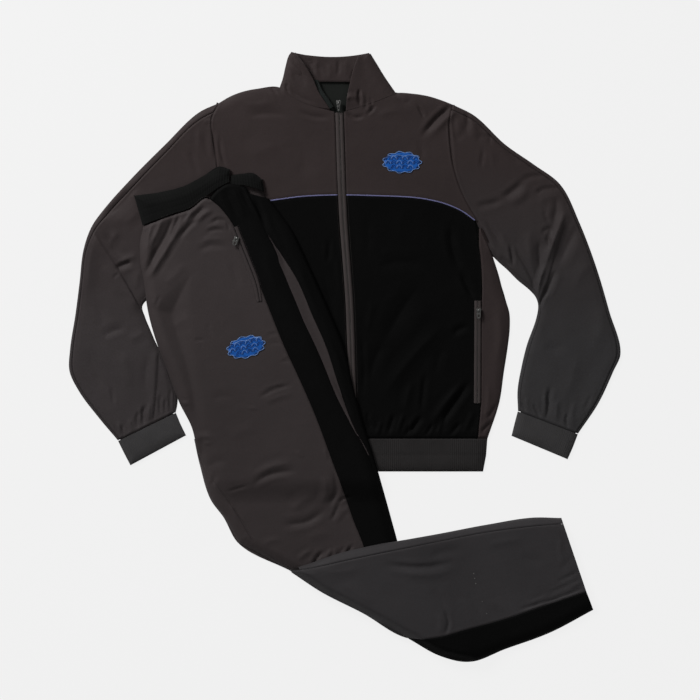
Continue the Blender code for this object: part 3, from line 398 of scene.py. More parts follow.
def waves(points, size, seed):
    """Smooth seeded noise from -1 to 1 with hills about size squares apart."""
    table = np.random.default_rng(seed).uniform(-1, 1, (96, 96))
    q = points / size + 31.7
    i = np.floor(q).astype(int)
    f = q - i
    f = f * f * (3 - 2 * f)
    a, b = table[i[..., 0] % 96, i[..., 1] % 96], table[(i[..., 0] + 1) % 96, i[..., 1] % 96]
    c, d = table[i[..., 0] % 96, (i[..., 1] + 1) % 96], table[(i[..., 0] + 1) % 96, (i[..., 1] + 1) % 96]
    return (a * (1 - f[..., 0]) + b * f[..., 0]) * (1 - f[..., 1]) + (c * (1 - f[..., 0]) + d * f[..., 0]) * f[..., 1]


def ruffle(points, seed, big=0.5, small=0.16):
    """Slight unevenness of lying cloth, in metres: broad swells and a few fine kinks."""
    turned = np.stack([points[..., 0] * 0.82 - points[..., 1] * 0.57, points[..., 0] * 0.57 + points[..., 1] * 0.82], -1)
    kink = 1 - np.abs(waves(turned * (1.0, 1.8), 15.0, seed + 3)) * 2
    return (big * waves(points, 34.0, seed) + small * waves(turned, 11.0, seed + 1)
            + 0.5 * small * np.clip(kink, 0, 1) ** 3) * 0.001


# ---- outlines ------------------------------------------------------------------
JACKET_OUTLINE = np.concatenate([
    fine_edge(COLLAR_LEFT, "ax", "ay"), fine_edge(COLLAR_BACK, "bx", "by"), fine_edge(UPPER_RIGHT, "tx", "ty", 4),
    fine_edge(SLEEVE_RIGHT, "ax", "ay", 0.2), edge(CUFF_RIGHT, "ax", "ay"), edge(CUFF_RIGHT, "bx", "by")[::-1],
    fine_edge(SLEEVE_RIGHT, "bx", "by")[::-1], fine_edge(SIDE_RIGHT, "bx", "by", 0.2), edge(HEM, "right", "y"),
    edge(HEM, "left", "y")[::-1], edge(LOWER_LEFT, "ax", "ay")[::-1][:7], fine_edge(SLEEVE_LEFT, "bx", "by"),
    edge(CUFF_LEFT, "bx", "by"), edge(CUFF_LEFT, "ax", "ay")[::-1], fine_edge(SLEEVE_LEFT, "ax", "ay")[::-1],
    fine_edge(UPPER_LEFT, "tx", "ty", 0.2, 3),
])
LEG_OUTLINE = np.concatenate([
    edge(WAIST_FRONT, "tx", "ty"), edge(WAIST_BEHIND, "tx", "ty"), fine_edge(LEG, "rx", "ry"),
    fine_edge(KNEE, "rx", "ry"), fine_edge(KNEE, "lx", "ly")[::-1], fine_edge(LEG, "lx", "ly")[::-1],
])
TOP_LEG_OUTLINE = np.concatenate([
    edge(WAIST_FRONT, "tx", "ty"), fine_edge(LEG, "sx", "sy"), fine_edge(KNEE, "rx", "ry"),
    fine_edge(KNEE, "lx", "ly")[::-1], fine_edge(LEG, "lx", "ly")[::-1],
])
TURN_OUTLINE = np.concatenate([fine_edge(TURN, "tx", "ty"), np.array([[585.0, 514.0], [620.0, 604.0]]),
                               fine_edge(TURN, "bx", "by")[::-1]])
KNEE_FOLD = np.concatenate([edge(LEG, "lx", "ly")[-1:], edge(TURN, "bx", "by")[:6]])

# Folds of the jacket. Lengths follow the lie of the cloth; the last rows are on its hidden or smooth sides.
JACKET_CREASES = rows(
    "x0 y0 x1 y1 x2 y2 half mm lean",
    # left shoulder and upper arm
    (190, 148, 194, 162, 200, 178, 3.5, -0.7, 0), (213, 126, 214, 143, 216, 164, 2.2, -1.1, 0.3),
    (219, 134, 221, 152, 227, 172, 2.0, -1.2, 0.3), (203, 123, 208, 121, 214, 124, 2.0, 0.9, 0),
    (199, 128, 199, 140, 200, 154, 3.0, 0.6, 0), (205, 130, 206, 144, 208, 160, 2.4, -0.5, 0),
    (140, 182, 122, 204, 100, 222, 8.0, -1.8, -0.4), (132, 186, 116, 204, 98, 224, 3.0, -1.2, 0),
    (152, 196, 136, 214, 118, 228, 6.0, 1.0, 0), (120, 230, 112, 240, 110, 252, 5.0, 0.9, 0),
    (133, 261, 124, 264, 114, 269, 3.2, -2.6, 0.5), (138, 256, 130, 258, 120, 262, 4.0, 1.0, 0),
    (105, 232, 113, 246, 124, 258, 4.5, -1.3, 0), (141, 268, 137, 280, 138, 292, 5.0, 0.8, 0),
    # left forearm
    (97, 234, 90, 262, 88, 300, 9.0, 1.0, 0), (104, 262, 112, 280, 124, 300, 7.0, 0.9, 0),
    (113, 279, 117, 275, 121, 273, 1.6, -0.9, 0), (101, 337, 114, 331, 128, 327, 4.5, -1.1, 0.3),
    (128, 340, 138, 336, 146, 330, 5.0, 0.7, 0), (94, 300, 102, 316, 104, 334, 6.0, -0.7, 0),
    (86, 350, 96, 372, 104, 396, 8.0, -0.8, 0), (111, 386, 113, 396, 114, 405, 2.2, -1.2, 0.2),
    (122, 350, 128, 372, 134, 392, 9.0, 0.9, 0), (148, 352, 146, 372, 144, 396, 4.0, -0.7, 0),
    # gathers above the left cuff
    (124, 424, 122, 430, 126, 438, 1.8, -1.8, 0), (118, 420, 121, 429, 123, 438, 2.4, 0.9, 0),
    (130, 418, 131, 426, 133, 434, 2.6, 1.0, 0), (139, 410, 137, 420, 139, 430, 2.0, -1.6, 0.2),
    (145, 404, 143, 414, 144, 426, 2.6, -2.2, 0.3), (150, 402, 149, 412, 150, 422, 2.0, 1.1, 0),
    (161, 392, 160, 402, 161, 416, 1.7, -1.5, 0), (166, 398, 165, 406, 166, 414, 1.5, -1.3, 0),
    (171, 388, 170, 400, 171, 412, 1.7, -1.4, 0), (164, 366, 166, 380, 170, 392, 4.0, 0.8, 0),
    # left front: under the collar, and beside the zip
    (246, 116, 268, 114, 292, 116, 4.0, -0.9, 0.4), (296, 111, 314, 117, 333, 118, 3.0, -1.2, 0.3),
    (240, 104, 262, 104, 282, 100, 5.0, 0.6, 0), (287, 82, 287, 88, 289, 95, 1.8, -1.3, 0),
    (271, 88, 274, 91, 278, 95, 1.5, -1.4, 0), (250, 160, 262, 150, 280, 146, 9.0, 0.5, 0),
    (300, 140, 304, 160, 302, 186, 9.0, -0.4, 0), (329, 238, 329, 250, 328, 266, 2.6, -1.2, 0),
    (322, 270, 330, 300, 336, 330, 5.0, -0.8, 0), (336, 250, 339, 280, 342, 310, 3.0, 0.7, 0),
    # right of the slider and the right collar's foot
    (345, 102, 350, 97, 358, 100, 3.0, 1.8, 0), (359, 88, 358.5, 98, 361, 107, 1.7, -2.6, 0.2),
    (362, 92, 363, 100, 363, 110, 2.0, 1.6, 0), (346, 112, 354, 118, 366, 116, 2.4, -1.6, 0.3),
    (366, 116, 371, 111, 377, 104, 2.0, -1.4, 0.2), (370, 97, 371, 101, 372, 106, 1.4, -1.2, 0),
    (366, 103, 369, 108, 368, 113, 2.2, 1.2, 0), (397, 96, 404, 103, 414, 98, 4.5, -0.9, 0),
    (392, 92, 396, 95, 400, 97, 1.7, -1.2, 0), (376, 118, 390, 112, 404, 114, 5.0, 0.6, 0),
    # right shoulder
    (454, 104, 437, 118, 419, 139, 3.4, -3.2, 0.35), (459, 110, 446, 120, 432, 136, 4.0, 1.1, 0),
    (417, 106, 421, 112, 424, 119, 1.8, -1.7, 0.3), (449, 119, 451, 140, 454, 172, 1.5, -1.1, 0),
    (466, 110, 467, 124, 464, 134, 2.2, -2.4, 0.3), (464, 132, 458, 139, 453, 132, 2.0, -1.5, 0),
    (458, 118, 459, 126, 460, 134, 3.0, 1.3, 0), (474, 118, 474, 130, 471, 142, 4.0, 1.0, 0),
    (476, 141, 482, 136, 491, 139, 2.0, -1.5, 0), (490, 133, 490, 139, 489, 146, 1.5, -1.7, 0),
    (483, 148, 482, 158, 480, 170, 2.2, -1.3, 0.2), (490, 150, 492, 158, 494, 168, 4.0, 0.6, 0),
    (505, 150, 512, 158, 522, 164, 3.0, -0.7, 0), (416, 140, 422, 150, 420, 162, 4.0, -0.6, 0),
    # upper right arm
    (474, 206.5, 492, 203, 505, 198, 3.2, -2.2, -0.3), (500, 199, 513, 190, 526, 179, 3.6, -2.4, -0.3),
    (520, 181, 530, 177, 545, 176, 2.6, -1.8, 0), (508, 204, 520, 198, 530, 186, 4.2, 1.3, 0),
    (533, 196, 544, 189, 562, 189, 2.0, -2.2, 0.2), (536, 204, 548, 197, 562, 196, 4.0, 0.9, 0),
    (556, 196, 556, 210, 551, 224, 3.6, -1.4, 0), (544, 208, 546, 218, 552, 226, 2.4, -1.0, 0),
    (541, 234, 547, 229, 554, 231, 2.2, -1.8, 0), (546, 236, 549, 243, 548, 250, 2.4, -1.5, 0),
    (540, 238, 539, 252, 541, 274, 4.6, -2.2, -0.2), (533, 226, 528, 246, 534, 270, 7.0, 0.9, 0),
    (567, 206, 552, 244, 543, 274, 4.6, 3.4, 0.3), (546, 262, 539, 284, 538, 304, 4.0, 2.6, 0.2),
    (579, 222, 566, 248, 556, 272, 6.5, -1.9, -0.2), (556, 268, 549, 286, 543, 300, 3.4, -1.9, 0.2),
    (548, 282, 543, 296, 537, 312, 2.0, -1.6, 0.3), (592, 262, 582, 272, 574, 292, 8.0, 0.7, 0),
    (484, 220, 493, 232, 503, 246, 3.0, -1.2, 0), (481, 226, 487, 238, 493, 250, 1.8, -1.8, 0),
    (509, 244, 512, 256, 513, 268, 2.2, -2.0, 0), (514, 248, 527, 269, 538, 294, 2.4, -1.6, 0.3),
    (499, 256, 506, 262, 512, 268, 3.0, -1.2, 0), (500, 232, 506, 244, 516, 256, 4.0, 0.8, 0),
    # right forearm
    (604, 300, 600, 330, 590, 356, 12.0, 0.9, 0), (540, 322, 552, 340, 556, 366, 9.0, -0.6, 0),
    (542, 346, 556, 348, 566, 340, 6.0, -0.5, 0), (578, 350, 572, 380, 560, 408, 9.0, 0.8, 0),
    (550, 384, 548, 400, 546, 422, 2.8, -2.2, 0.2), (543, 392, 546, 404, 544, 419, 2.4, 1.2, 0),
    (533, 402, 536, 410, 541, 419, 1.7, -1.4, 0), (526, 396, 527, 404, 530, 414, 2.4, 0.7, 0),
    (557, 398, 556, 412, 556, 424, 3.2, 1.2, 0), (567, 412, 566, 421, 568, 430, 1.7, -1.5, 0),
    (575, 400, 572, 414, 573, 430, 3.0, 0.9, 0), (591, 394, 588, 402, 583, 412, 2.2, -0.8, 0),
    (521, 402, 523, 406, 526, 412, 1.5, -1.0, 0),
    # black lower front, right
    (450, 222, 452, 248, 461, 274, 4.6, -1.9, 0.2), (460, 270, 467, 286, 475, 302, 3.6, -2.2, 0.2),
    (376, 268, 398, 262, 430, 266, 7.0, -1.0, 0), (420, 284, 398, 316, 380, 350, 10.0, -1.8, 0.2),
    (384, 340, 374, 362, 368, 386, 6.5, -1.4, 0), (446, 322, 410, 360, 378, 402, 8.0, 1.6, 0),
    (452, 336, 458, 330, 470, 326, 4.0, -1.6, 0), (444, 346, 438, 360, 436, 378, 5.0, -0.8, 0),
    (425, 372, 423, 392, 421, 414, 3.0, -1.7, 0.2), (412, 380, 408, 396, 404, 414, 4.5, 1.1, 0),
    (472, 378, 452, 406, 434, 434, 4.0, -2.8, 0.2), (462, 384, 444, 404, 428, 428, 4.4, 1.4, 0),
    (423, 414, 414, 426, 402, 437, 3.4, -2.6, 0.2), (461, 421, 455, 429, 448, 437, 2.6, -1.8, 0),
    (395, 412, 391, 424, 387, 437, 2.6, -2.0, 0), (368, 410, 368, 420, 373, 431, 2.4, -1.7, 0),
    (381, 420, 379, 429, 376, 437, 2.2, 1.4, 0), (433, 422, 429, 430, 424, 437, 2.0, -1.6, 0),
    (474, 410, 468, 424, 462, 436, 3.0, 1.2, 0), (404, 412, 400, 424, 396, 436, 2.4, 1.5, 0),
    (412, 420, 410, 430, 410, 437, 1.6, 1.2, 0), (444, 414, 440, 426, 437, 437, 2.2, 1.3, 0),
    (361, 330, 364, 366, 362, 404, 3.0, -1.0, 0), (372, 300, 370, 318, 366, 336, 4.0, 0.7, 0),
    (404, 210, 400, 226, 402, 246, 7.0, 0.5, 0), (366, 214, 368, 236, 366, 262, 5.0, -0.5, 0),
    # right side panel
    (497, 300, 500, 340, 494, 372, 5.0, 0.9, 0), (486, 420, 492, 412, 498, 402, 2.6, -1.3, 0),
    (480, 434, 486, 427, 494, 420, 2.4, -1.5, 0), (488, 380, 488, 400, 484, 420, 3.0, 0.7, 0),
)
# Where a part of the sleeve overlies the next part.
JACKET_LIPS = rows(
    "x0 y0 x1 y1 x2 y2 back mm under",
    (143, 314, 117, 268, 91, 228, 9.0, 3.4, 1.6), (152, 424, 155.6, 386, 157.6, 348, 5.0, 2.0, 1.0),
    (541, 306, 552, 262, 566, 214, 3.4, 0.8, 0.4),
)
LEG_CREASES = rows(
    "x0 y0 x1 y1 x2 y2 half mm lean",
    # fan below the waistband
    (176, 213, 168, 232, 152, 262, 4.6, -3.2, -0.2), (160, 244, 152, 262, 145, 278, 3.2, -2.4, 0),
    (152, 222, 148, 246, 146, 266, 4.0, 1.8, 0), (164, 217, 158, 232, 150, 250, 2.6, 1.2, 0),
    (150, 225, 146, 236, 144, 250, 2.0, -1.1, 0), (189, 214, 176, 236, 160, 260, 3.6, 1.8, 0),
    (181, 214, 175, 228, 170, 244, 1.9, -1.8, 0), (200, 219, 189, 227, 177, 241, 2.4, -1.6, 0.2),
    (207, 206, 198, 214, 190, 226, 2.6, -1.8, 0), (214, 210, 205, 215, 196, 224, 2.8, 1.6, 0),
    (196, 209, 190, 216, 184, 228, 2.0, 1.2, 0), (172, 244, 160, 262, 148, 282, 3.4, 1.9, 0),
    (211, 224, 219, 220, 229, 223, 1.9, -1.6, 0.2), (226, 221, 229, 226, 229, 233, 1.6, -1.4, 0),
    (205, 234, 216, 230, 228, 232, 2.2, -1.1, 0), (206, 228, 217, 226, 227, 227, 2.4, 0.9, 0),
    (196, 252, 212, 246, 230, 249, 3.6, -0.9, 0), (200, 243, 213, 239, 229, 241, 3.4, 0.7, 0),
    (186, 262, 176, 276, 160, 286, 7.0, 0.8, 0), (230, 262, 236, 276, 240, 290, 4.0, -0.5, 0),
    # thigh
    (161, 295, 158, 302, 156, 309, 1.6, -1.0, 0), (173, 330, 180, 322, 194, 318, 6.0, 0.5, 0),
    (194, 341, 200, 340, 206, 340, 1.8, -0.6, 0), (208, 322, 210, 330, 214, 336, 3.0, -0.5, 0),
    (266, 336.5, 272, 334, 280, 334, 1.5, -0.9, 0), (268, 344, 275, 343, 283, 343, 1.5, -0.8, 0),
    (280, 362, 285, 361, 291, 362, 1.5, -0.8, 0), (283, 356, 287, 356, 290, 357, 1.6, 0.6, 0),
    (258, 398, 274, 390, 294, 384, 2.2, -1.4, 0.3), (264, 391, 276, 387, 290, 386, 1.6, -0.6, 0),
    (262, 404, 278, 397, 296, 392, 3.4, 0.7, 0), (180, 402, 184, 403, 190, 404, 2.4, 0.9, 0),
    (192, 440, 206, 436, 216, 440, 4.0, 0.9, 0), (204, 442, 208, 443, 212, 443, 2.0, 0.8, 0),
    (248, 408, 252, 408, 258, 408, 1.8, 0.6, 0), (212, 400, 222, 396, 236, 398, 5.0, -0.5, 0),
    (230, 440, 244, 430, 262, 430, 8.0, 0.5, 0), (297, 450, 300, 454, 304, 458, 2.0, 0.8, 0),
    (324, 448, 326, 454, 328, 460, 1.6, 0.9, 0), (205, 470, 216, 462, 230, 460, 5.0, -0.6, 0),
    # above and at the knee
    (250, 487, 268, 475, 300, 470, 4.0, -1.7, 0.3), (254, 478, 270, 467, 296, 462, 4.6, 0.9, 0),
    (226, 492, 238, 488, 252, 484, 1.8, -0.8, 0), (280, 525, 308, 521, 330, 505, 4.4, -1.9, 0.2),
    (327, 508, 337, 490, 332, 466, 2.8, -2.0, 0.2), (320, 505, 326, 492, 324, 474, 4.6, 1.4, 0),
    (331, 522, 337, 508, 341, 499, 1.7, -1.9, 0.2), (338, 503, 344, 498, 353, 497, 1.8, -1.6, 0.2),
    (336, 524, 342, 512, 352, 506, 3.0, 1.0, 0), (290, 512, 304, 500, 316, 496, 6.0, 0.8, 0),
    (346, 560, 348, 551, 354, 543, 1.9, -2.0, 0), (313, 566, 317, 558, 325, 549, 2.3, -2.2, 0.2),
    (324, 562, 328, 554, 334, 547, 2.4, 1.3, 0), (335, 559, 335, 552, 336, 545, 1.7, 1.1, 0),
    (336, 560, 340, 552, 346, 545, 1.8, -1.0, 0), (298, 561, 304, 554, 314, 549, 3.0, 1.0, 0),
    (306, 540, 318, 534, 332, 534, 6.0, 0.6, 0), (262, 545, 272, 540, 284, 541, 4.0, 0.7, 0),
    (231, 502, 234, 512, 240, 522, 2.4, 0.7, 0), (210, 487, 214, 480, 216, 470, 2.6, -0.8, 0),
    # stripe: gathers under the waistband
    (224, 188, 232, 204, 240, 222, 3.0, -1.2, 0), (232, 186, 239, 202, 247, 220, 2.4, 1.2, 0),
    (240, 186, 245, 198, 252, 212, 2.0, -1.4, 0), (218, 192, 224, 204, 232, 218, 2.0, 0.9, 0),
    (246, 190, 252, 204, 262, 222, 2.6, 1.0, 0), (262, 250, 272, 276, 284, 302, 5.0, 0.7, 0),
)
BENEATH_CREASES = rows(
    "x0 y0 x1 y1 x2 y2 half mm lean",
    (254, 196, 260, 212, 270, 232, 2.6, -2.6, 0), (262, 210, 272, 232, 284, 258, 3.6, 1.6, 0),
    (268, 232, 280, 254, 292, 280, 3.0, -1.8, 0), (296, 262, 308, 292, 322, 324, 4.0, 1.0, 0),
    (300, 300, 314, 330, 328, 360, 3.2, -1.4, 0), (322, 330, 336, 356, 346, 384, 3.4, 0.9, 0),
    (330, 372, 342, 396, 352, 420, 2.6, -1.4, 0),
)
TURN_CREASES = rows(
    "x0 y0 x1 y1 x2 y2 half mm lean",
    (380, 563, 424, 566, 462, 559, 3.6, -1.8, -0.3), (428, 556, 444, 551, 466, 549, 6.0, -1.0, 0),
    (400, 572, 430, 574, 458, 568, 5.0, 0.8, 0), (443, 608, 448, 620, 444, 636, 2.0, -1.8, 0.2),
    (438, 612, 441, 622, 438, 634, 3.4, 0.8, 0), (430, 588, 440, 598, 446, 610, 5.0, -0.6, 0),
    (340, 580, 356, 592, 376, 604, 9.0, 0.7, 0), (320, 572, 340, 571, 366, 566, 6.0, 0.6, 0),
    (484, 545, 506, 541, 528, 538, 5.0, 0.6, 0), (520, 556, 532, 560, 545, 560, 6.0, -0.6, 0),
    (556, 582, 566, 577, 580, 570, 2.0, -1.0, 0), (548, 592, 560, 588, 572, 582, 1.8, -0.9, 0),
    (517, 610, 532, 605, 548, 599, 1.8, -1.2, 0), (540, 603, 556, 598, 570, 592, 1.7, -1.2, 0),
    (562, 596, 572, 592, 584, 587, 1.7, -1.3, 0), (526, 604, 538, 600, 550, 594, 2.0, 0.8, 0),
    (568, 588, 576, 584, 583, 581, 1.8, 0.9, 0), (558, 570, 566, 564, 574, 552, 4.0, -0.5, 0),
    (486, 600, 500, 606, 510, 614, 5.0, 0.5, 0), (560, 536, 560, 552, 564, 566, 3.0, 0.6, 0),
    (466, 590, 476, 604, 482, 618, 6.0, -0.5, 0),
)



# ---- heights -------------------------------------------------------------------
def rounded(depth, drop, width):
    """How far a free edge falls away."""
    d = np.clip(depth / width, 0, 1)
    return -drop * (1 - np.sqrt(np.clip(1 - (1 - d) ** 2, 0, 1)))


SEAM_LINES = []


LEG_LINES = []


def seams(points, lines):
    total = np.zeros(points.shape[:-1])
    for line, deep, wide in lines:
        near = 8
        box = ((points[..., 0] > line[:, 0].min() - near) & (points[..., 0] < line[:, 0].max() + near)
               & (points[..., 1] > line[:, 1].min() - near) & (points[..., 1] < line[:, 1].max() + near))
        if box.any():
            d = line_distance(points[box], line)
            total[box] += -deep * np.exp(-((d / wide) ** 2)) + 0.35 * deep * np.exp(-(((d - 2.6 * wide) / wide) ** 2))
    return total


def jacket_height(points, extra=0.0, rough=1.0):
    depth = inside_depth(points, JACKET_OUTLINE)
    clear = smooth((-inside_depth(points, LEG_OUTLINE) + 0.004) / 0.016)
    z = 2 * WALL + SEAM + BODY_PUFF * roll(depth, BODY_ROLL)
    folds = creases(points, JACKET_CREASES) + lips(points, JACKET_LIPS) + rough * ruffle(points, 5)
    z = z + clear * folds + seams(points, SEAM_LINES) + rounded(depth, 0.0016, 0.0030) + extra
    return np.maximum(z, 0.0017)


def leg_under(points):
    return BRIDGE * smooth((inside_depth(points, JACKET_OUTLINE) + 0.055) / 0.045)


def leg_base(points, on_top):
    z = leg_under(points) + LEG_EDGE + LEG_PUFF * roll(inside_depth(points, LEG_OUTLINE), LEG_ROLL)
    if on_top:
        z = z + LEG_STEP * roll(inside_depth(points, TOP_LEG_OUTLINE), LEG_ROLL)
    return z


def leg_height(points, on_top=True, extra=0.0, rough=1.0):
    z = leg_base(points, on_top)
    if on_top:
        depth = inside_depth(points, TOP_LEG_OUTLINE)
        z = z + creases(points, LEG_CREASES) + seams(points, LEG_LINES) + rough * ruffle(points, 17) + rounded(depth, 0.0022, 0.0034)
    else:
        depth = inside_depth(points, LEG_OUTLINE)
        z = z + creases(points, BENEATH_CREASES) + 0.6 * rough * ruffle(points, 23) + rounded(depth, 0.0020, 0.0030)
    return z + extra


def turn_under(points):
    level = TURN_LEVEL * smooth((inside_depth(points, LEG_OUTLINE) + 0.125) / 0.120)
    return level * (0.5 + 0.5 * smooth(line_distance(points, KNEE_FOLD) / 0.015))


def turn_height(points, extra=0.0, rough=1.0):
    depth = inside_depth(points, TURN_OUTLINE)
    z = turn_under(points) + LEG_EDGE + TURN_PUFF * roll(depth, LEG_ROLL)
    z = z + creases(points, TURN_CREASES) + seams(points, LEG_LINES) + rough * ruffle(points, 41) + rounded(depth, 0.0024, 0.0034)
    return z + extra


def to_metres(points, height):
    x = (points[..., 0] - GRID_X0) * GRID
    y = (GRID_Y0 - points[..., 1]) * GRID
    return np.stack([x, y, np.broadcast_to(height, x.shape)], axis=-1)


# ---- plan grids ----------------------------------------------------------------
def shares_for(width, pitch, fine_a=True, fine_b=True):
    """Shares across a section, closer together at its ends."""
    near = np.array([0.0, 0.0005, 0.0011, 0.0019, 0.0029, 0.0042])
    inner = np.linspace(0, width, max(3, int(round(width / pitch)) + 1))
    at = list(inner)
    if fine_a:
        at = [v for v in at if v > near[-1] + 0.4 * pitch] + list(near)
    if fine_b:
        at = [v for v in at if v < width - near[-1] - 0.4 * pitch] + list(width - near)
    return np.unique(np.clip(np.array(at) / width, 0, 1))


def patch(a, b, pitch=FINE, first=None, last=None, fade=(1.0, 0.5, 0.2), bow=None, fine=(True, True),
          inset=(0.0, 0.0, 0.0, 0.0), span=None, shares=None):
    """Plan grid from edge a to edge b (tables of points), its end sections bent to given curves."""
    count = len(a) - 1
    span = span or (0, count)
    probe = np.linspace(span[0], span[1], int(40 * (span[1] - span[0])) + 1)
    pa, pb = through(a, probe), through(b, probe)
    run = (np.hypot(*np.diff(pa, axis=0).T) + np.hypot(*np.diff(pb, axis=0).T)) / 2
    run = np.r_[0, np.cumsum(np.maximum(run, 0.25 * np.hypot(*np.diff(pa, axis=0).T)))] * GRID
    at = shares_for(run[-1], pitch) * run[-1]
    t = np.interp(at, run, probe)
    pa, pb = through(a, t), through(b, t)
    width = np.linalg.norm(pb - pa, axis=1).mean() * GRID
    if shares is None:
        shares = shares_for(width, pitch, *fine)
    s = shares[None, :, None]
    grid = pa[:, None] * (1 - s) + pb[:, None] * s
    if bow is not None:
        side = pb - pa
        normal = np.stack([-side[:, 1], side[:, 0]], 1) / (np.linalg.norm(side, axis=1, keepdims=True) + 1e-9)
        amount = np.interp(t, np.arange(len(bow)), bow)
        grid = grid + normal[:, None] * (4 * s * (1 - s)) * amount[:, None, None]
    for curve, ends, where in ((first, 0, t - span[0]), (last, -1, span[1] - t)):
        if curve is not None:
            offset = along(fine_line(curve), shares) - grid[ends]
            weight = np.interp(where, np.arange(len(fade) + 1), [*fade, 0.0])
            grid = grid + weight[:, None, None] * offset[None]
    return draw_in(grid, *inset), shares, t


def draw_in(grid, side_a=0.0, side_b=0.0, first=0.0, last=0.0):
    grid = grid.copy()

    def pull(line, inner, by):
        run = np.gradient(line, axis=0)
        normal = np.stack([-run[:, 1], run[:, 0]], axis=1)
        normal /= np.linalg.norm(normal, axis=1, keepdims=True) + 1e-9
        normal *= np.sign(np.sum(normal * (inner - line)))
        return line + normal * (by / GRID)

    if side_a:
        grid[:, 0] = pull(grid[:, 0], grid[:, 1], side_a)
    if side_b:
        grid[:, -1] = pull(grid[:, -1], grid[:, -2], side_b)
    if first:
        grid[0] = pull(grid[0], grid[1], first)
    if last:
        grid[-1] = pull(grid[-1], grid[-2], last)
    return grid


def outward(grid, side):
    """Unit plan vectors pointing out of a grid's side."""
    line, inner = {"a": (grid[:, 0], grid[:, 3]), "b": (grid[:, -1], grid[:, -4]),
                   "first": (grid[0], grid[3]), "last": (grid[-1], grid[-4])}[side]
    run = np.gradient(line, axis=0)
    normal = np.stack([-run[:, 1], run[:, 0]], axis=1)
    normal /= np.linalg.norm(normal, axis=1, keepdims=True) + 1e-9
    return normal * np.sign(np.sum(normal * (line - inner)))


def with_skirts(plan, height, skirts):
    """Turns the cloth down round its free edges: skirts names sides and how deep, in metres."""
    points = to_metres(plan, height)
    done = {}
    for side, deep in skirts.items():
        out = outward(plan, side) * (1, -1)
        rim = {"a": points[:, 0], "b": points[:, -1], "first": points[0], "last": points[-1]}[side]
        if side in ("first", "last"):      # earlier skirts made this rim longer
            out = np.concatenate([np.repeat(out[:1], done.get("a", 0), 0), out, np.repeat(out[-1:], done.get("b", 0), 0)])
        if deep < 0:      # a seam allowance that runs on under the next piece
            steps = [rom for rom in (rim + np.concatenate([out * d, np.full((len(out), 1), -fall)], 1)
                                     for d, fall in ((0.10 * -deep, 0.0004), (0.22 * -deep, 0.0010), (-deep, 0.0015)))]
            extra = 3
        else:
            steps, extra = [], 4
        bulge = min(0.0010, deep * 0.4)
        for angle in (30, 60, 90, 125) if deep > 0 else ():
            turn = math.radians(angle)
            shift = np.concatenate([out * bulge * math.sin(turn), np.zeros((len(out), 1))], 1)
            fall = deep * (1 - math.cos(turn)) / (1 - math.cos(math.radians(125)))
            steps.append(rim + shift - (0, 0, fall))
        done[side] = extra
        block = np.stack(steps)
        if side == "a":
            points = np.concatenate([block[::-1].transpose(1, 0, 2), points], axis=1)
        elif side == "b":
            points = np.concatenate([points, block.transpose(1, 0, 2)], axis=1)
        elif side == "first":
            points = np.concatenate([block[::-1], points])
        else:
            points = np.concatenate([points, block])
    points[..., 2] = np.maximum(points[..., 2], 0.0003)
    return points


# ---- making pieces --------------------------------------------------------------
LAID = {}


def quads(count_a, count_b, around=False):
    i, j = np.meshgrid(np.arange(count_a - 1), np.arange(count_b if around else count_b - 1), indexing="ij")
    k = (j + 1) % count_b
    return np.stack([i * count_b + j, i * count_b + k, (i + 1) * count_b + k, (i + 1) * count_b + j], -1).reshape(-1, 4)


def facing(points, face, part=None):
    """Whether the faces between these sections look up on the whole."""
    p = points if part is None else points[:, part]
    d1, d2 = p[1:, 1:] - p[:-1, :-1], p[1:, :-1] - p[:-1, 1:]
    return (d1[..., 0] * d2[..., 1] - d1[..., 1] * d2[..., 0]).sum() > 0


def mesh_piece(name, verts, faces, material):
    mesh = bpy.data.meshes.new(name)
    mesh.from_pydata(np.asarray(verts).reshape(-1, 3).tolist(), [], [list(map(int, f)) for f in faces])
    mesh.update()
    mesh.materials.append(material)
    mesh.shade_smooth()
    obj = bpy.data.objects.new(name, mesh)
    bpy.context.scene.collection.objects.link(obj)
    return obj


def cloth(name, points, material, up=True, part=None, around=False, thick=CLOTH, nodes=(), slot=None):
    """A thin shell through a grid of points: its face is the given one, its wall lies behind it."""
    faces = quads(points.shape[0], points.shape[1], around)
    if facing(points, None, part) != up:
        faces = faces[:, ::-1]
    obj = mesh_piece(name, points, faces, material)
    wall = obj.modifiers.new("wall", "SOLIDIFY")
    wall.thickness = thick
    wall.offset = -1.0
    finish_piece(obj, nodes, slot)
    return obj


def finish_piece(obj, nodes=(), slot=None, body="tracksuit"):
    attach(obj, body)
    if nodes:
        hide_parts(*nodes)
    return obj


def joined(name, verts, faces, material, body="tracksuit", nodes=(), slot=None):
    obj = mesh_piece(name, verts, faces, material)
    return finish_piece(obj, nodes, slot, body)


def tube(name, centre, radius, material, sides=8, squash=1.0, caps=True, **more):
    """A round cord along 3-D points."""
    centre = np.asarray(centre, float)
    run = np.gradient(centre, axis=0)
    run /= np.linalg.norm(run, axis=1, keepdims=True) + 1e-12
    side = np.cross(run, (0, 0, 1.0))
    side /= np.linalg.norm(side, axis=1, keepdims=True) + 1e-12
    up = np.cross(side, run)
    radius = np.broadcast_to(radius, len(centre))[:, None]
    rings = [centre + side * radius * math.cos(a) + up * radius * squash * math.sin(a)
             for a in np.linspace(0, 2 * math.pi, sides + 1)[:-1]]
    points = np.stack(rings, axis=1)
    faces = quads(len(points), sides, True).tolist()
    if caps:
        faces += [list(range(sides))[::-1], [(len(points) - 1) * sides + k for k in range(sides)]]
    return joined(name, points, faces, material, **more)


